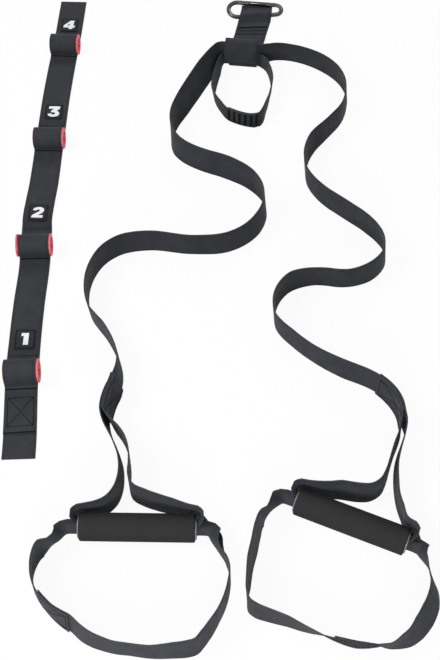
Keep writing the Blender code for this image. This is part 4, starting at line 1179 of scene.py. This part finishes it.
def makeAnchorStrap():
    facts = anchorStrap
    turn = math.radians(facts["turn"])
    place = spot(*clip["place"])
    tail = place + Vector((math.sin(turn), math.cos(turn), 0)) * facts["beyond"]
    plan = laid([spot(x, y) for x, y in facts["plan"]] + [place, tail])
    points = [station[0] for station in smooth(plan, sampling["anchor"])]
    reach, aims = reaches(points), headings(points)
    back = sleeveMatrix() @ Vector((0.0, sleeve["innerThick"] / 2 + webbing["thick"], 0.0))
    start = distanceAlong(points, reach, back)
    spineAt = distanceAlong(points, reach, place) - start
    profile, crown = anchorProfile(spineAt)
    centres, rows = [], []
    for along, height in profile:
        i = min(max(bisect_right(reach, start + along) - 1, 0), len(reach) - 2)
        aim = (points[i + 1] - points[i]).normalized()
        centres.append(points[i] + aim * (start + along - reach[i]) + up * height)
        rows.append(anchorRow(leftOf(aims[i]), along, spineAt))
    fine, rises, marks = centres[:1], rows[:1], [0]
    for a, b, rowA, rowB in zip(centres, centres[1:], rows, rows[1:]):
        cuts = max(1, round((b - a).length / sampling["fine"]))
        fine += [a.lerp(b, k / cuts) for k in range(1, cuts + 1)]
        rises += [rowA.lerp(rowB, k / cuts) for k in range(1, cuts + 1)]
        marks.append(len(fine) - 1)
    whole = layBand(laid(fine), facts["width"], rises)
    along = (points[-1] - place).normalized()
    top = marks[crown]
    clear = place + along * facts["clearOf"]
    beyond = [i for i, point in enumerate(fine) if (point - clear).dot(along) > 0]
    ends = (0, beyond[0], beyond[-1], len(fine) - 1)
    for name, start, end in zip(("anchorStrapUnder", "anchorStrapFold", "anchorStrapOver"), ends, ends[1:]):
        band = {
            key: value[start:end + 1] if isinstance(value, list) else value for key, value in whole.items()
        }
        piece = sheetPiece(name, band, finishes["strap"], "folded", nodes=["anchor_strap"])
        if name == "anchorStrapFold":  # the fold keeps its own copy of its mesh
            tuple(along)
            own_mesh(piece)
    bm = bmesh.new()
    for row in facts["rows"]:
        seam(bm, whole, whole["reach"][top] + row, facts["rowHalf"], -1)
    makePiece(bm, "anchorStitching", finishes["thread"])


makeAnchorStrap()
print("sleeve and anchor strap")


# Clip: a bent wire, its gate and the gate's pin
def clipGeometry():
    big = Vector((clip["spineStart"], clip["bigBow"], 0.0))
    small = Vector((clip["spineStart"] + clip["apart"], clip["smallBow"], 0.0))
    slope = 2 * math.atan2(clip["smallBow"] - clip["bigBow"], clip["apart"])
    away = Vector((math.cos(slope), math.sin(slope), 0.0))
    outward = Vector((-away.y, away.x, 0.0))
    return big, small, slope, away, big + outward * clip["bigBow"], small + outward * clip["smallBow"]


def makeClip():
    big, small, slope, away, noseEnd, hingeEnd = clipGeometry()
    pin = hingeEnd - away * clip["hingeInset"]
    nose = pin - away * (clip["gateLength"] + clip["contact"] - clip["noseTongue"])
    tilt = 90 + math.degrees(slope)
    bows = arc(big.x, big.y, clip["bigBow"], tilt, 270, clip["bowCuts"])[1:]
    bows += arc(small.x, small.y, clip["smallBow"], -90, tilt, clip["bowCuts"])
    path = [nose, nose.lerp(noseEnd, 0.5), noseEnd] + [Vector((x, y, 0)) for x, y in bows]
    path.append(pin - away * clip["eye"])
    points = [station[0] for station in smooth(laid(path), clip["step"])]
    reach, aims = reaches(points), headings(points)
    radius = clip["wire"] / 2
    outline = arc(0, 0, 1, 0, 360, clip["wireCuts"])
    matrix = clipMatrix()
    seat = clip["gateLength"] + clip["contact"]
    tongue = clip["tongueThick"] / 2

    def placeOf(i, a, b):
        side = Vector((-aims[i].y, aims[i].x, 0.0))
        fromPin = (points[i] - pin).dot(-away)
        upperSide = points[i].y > small.y
        thin = upperSide and (fromPin < clip["tongueLength"] or seat - clip["tongueLength"] < fromPin < seat)
        height = max(-tongue, min(tongue, b * radius)) if thin else b * radius
        return matrix @ (points[i] + side * a * radius + up * height)

    bm = sweep(len(points), outline, reach, placeOf)
    makePiece(
        bm, "carabinerBody", finishes["gunmetal"], body="carabiner", slotName="carabiner", nodes=["carabiner_body"],
    )


def mergedCopy(node, name, body):
    bm = bmesh.new()
    bm.from_mesh(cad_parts[node].data)
    bmesh.ops.remove_doubles(bm, verts=bm.verts, dist=weld["turned"])
    makePiece(bm, name, finishes["gunmetal"], body=body, slotName="carabiner", nodes=[node], sharp=40)


makeClip()
mergedCopy("carabiner_gate", "carabinerGate", "gate")
mergedCopy("gate_pin", "gatePin", "carabiner")
print("clip")

# Floor, backdrop and light
studio = {
    "floorSize": 8.0, "floorDrop": 0.0006, "floorColour": 0.92, "floorBounce": 0.25, "floorGlow": 0.94, "world": 0.25,
}
lamps = {
    "key": {"place": (-1300.0, -100.0, 1500.0), "size": 0.9, "power": 23.0},
    "fill": {"place": (-60.0, -1350.0, 520.0), "size": 0.5, "power": 13.0},
    "rim": {"place": (500.0, 1700.0, 1300.0), "size": 0.8, "power": 12.0},
}


def sawRays(tree):
    path = tree.nodes.new("ShaderNodeLightPath")
    seen = mathNode(tree, "MAXIMUM", path.outputs["Is Camera Ray"], path.outputs["Is Glossy Ray"])
    return mathNode(tree, "MAXIMUM", seen, path.outputs["Is Transmission Ray"])


def makeFloor():
    bm = bmesh.new()
    bmesh.ops.create_grid(bm, x_segments=1, y_segments=1, size=studio["floorSize"] / 2)
    bmesh.ops.translate(bm, vec=(0, 0, -studio["floorDrop"]), verts=bm.verts)
    floor = addObject("floor", meshOf("floor", bm))
    material = bpy.data.materials.new("pale floor")
    material.use_nodes = True
    tree = material.node_tree
    tree.nodes.remove(tree.nodes["Principled BSDF"])
    seen = sawRays(tree)
    colour = mixColours(tree, seen, (studio["floorBounce"],) * 3, (studio["floorColour"],) * 3)
    matt = addNode(tree, "ShaderNodeBsdfDiffuse", {"Color": colour})
    glow = addNode(tree, "ShaderNodeEmission", {"Strength": 1.0})
    share = mathNode(tree, "MULTIPLY", seen, studio["floorGlow"])
    mix = addNode(tree, "ShaderNodeMixShader", {0: share, 1: matt.outputs[0], 2: glow.outputs[0]})
    feed(tree, tree.nodes["Material Output"], {"Surface": mix.outputs[0]})
    floor.data.materials.append(material)


def makeWorld():
    world = bpy.data.worlds.new("studio")
    bpy.context.scene.world = world
    world.use_nodes = True
    tree = world.node_tree
    strength = mathNode(tree, "MAXIMUM", sawRays(tree), studio["world"])
    feed(tree, tree.nodes["Background"], {"Color": (1.0, 1.0, 1.0, 1.0), "Strength": strength})


def makeLamps():
    for name, facts in lamps.items():
        data = bpy.data.lights.new(name, "AREA")
        data.shape = "DISK"
        data.size = facts["size"]
        data.energy = facts["power"]
        lamp = addObject(name, data)
        lamp.location = spot(*facts["place"])
        lamp.rotation_euler = (-lamp.location).to_track_quat("-Z", "Y").to_euler()


makeFloor()
makeWorld()
makeLamps()
bpy.context.scene.view_settings.view_transform = "Standard"
print("floor and light")
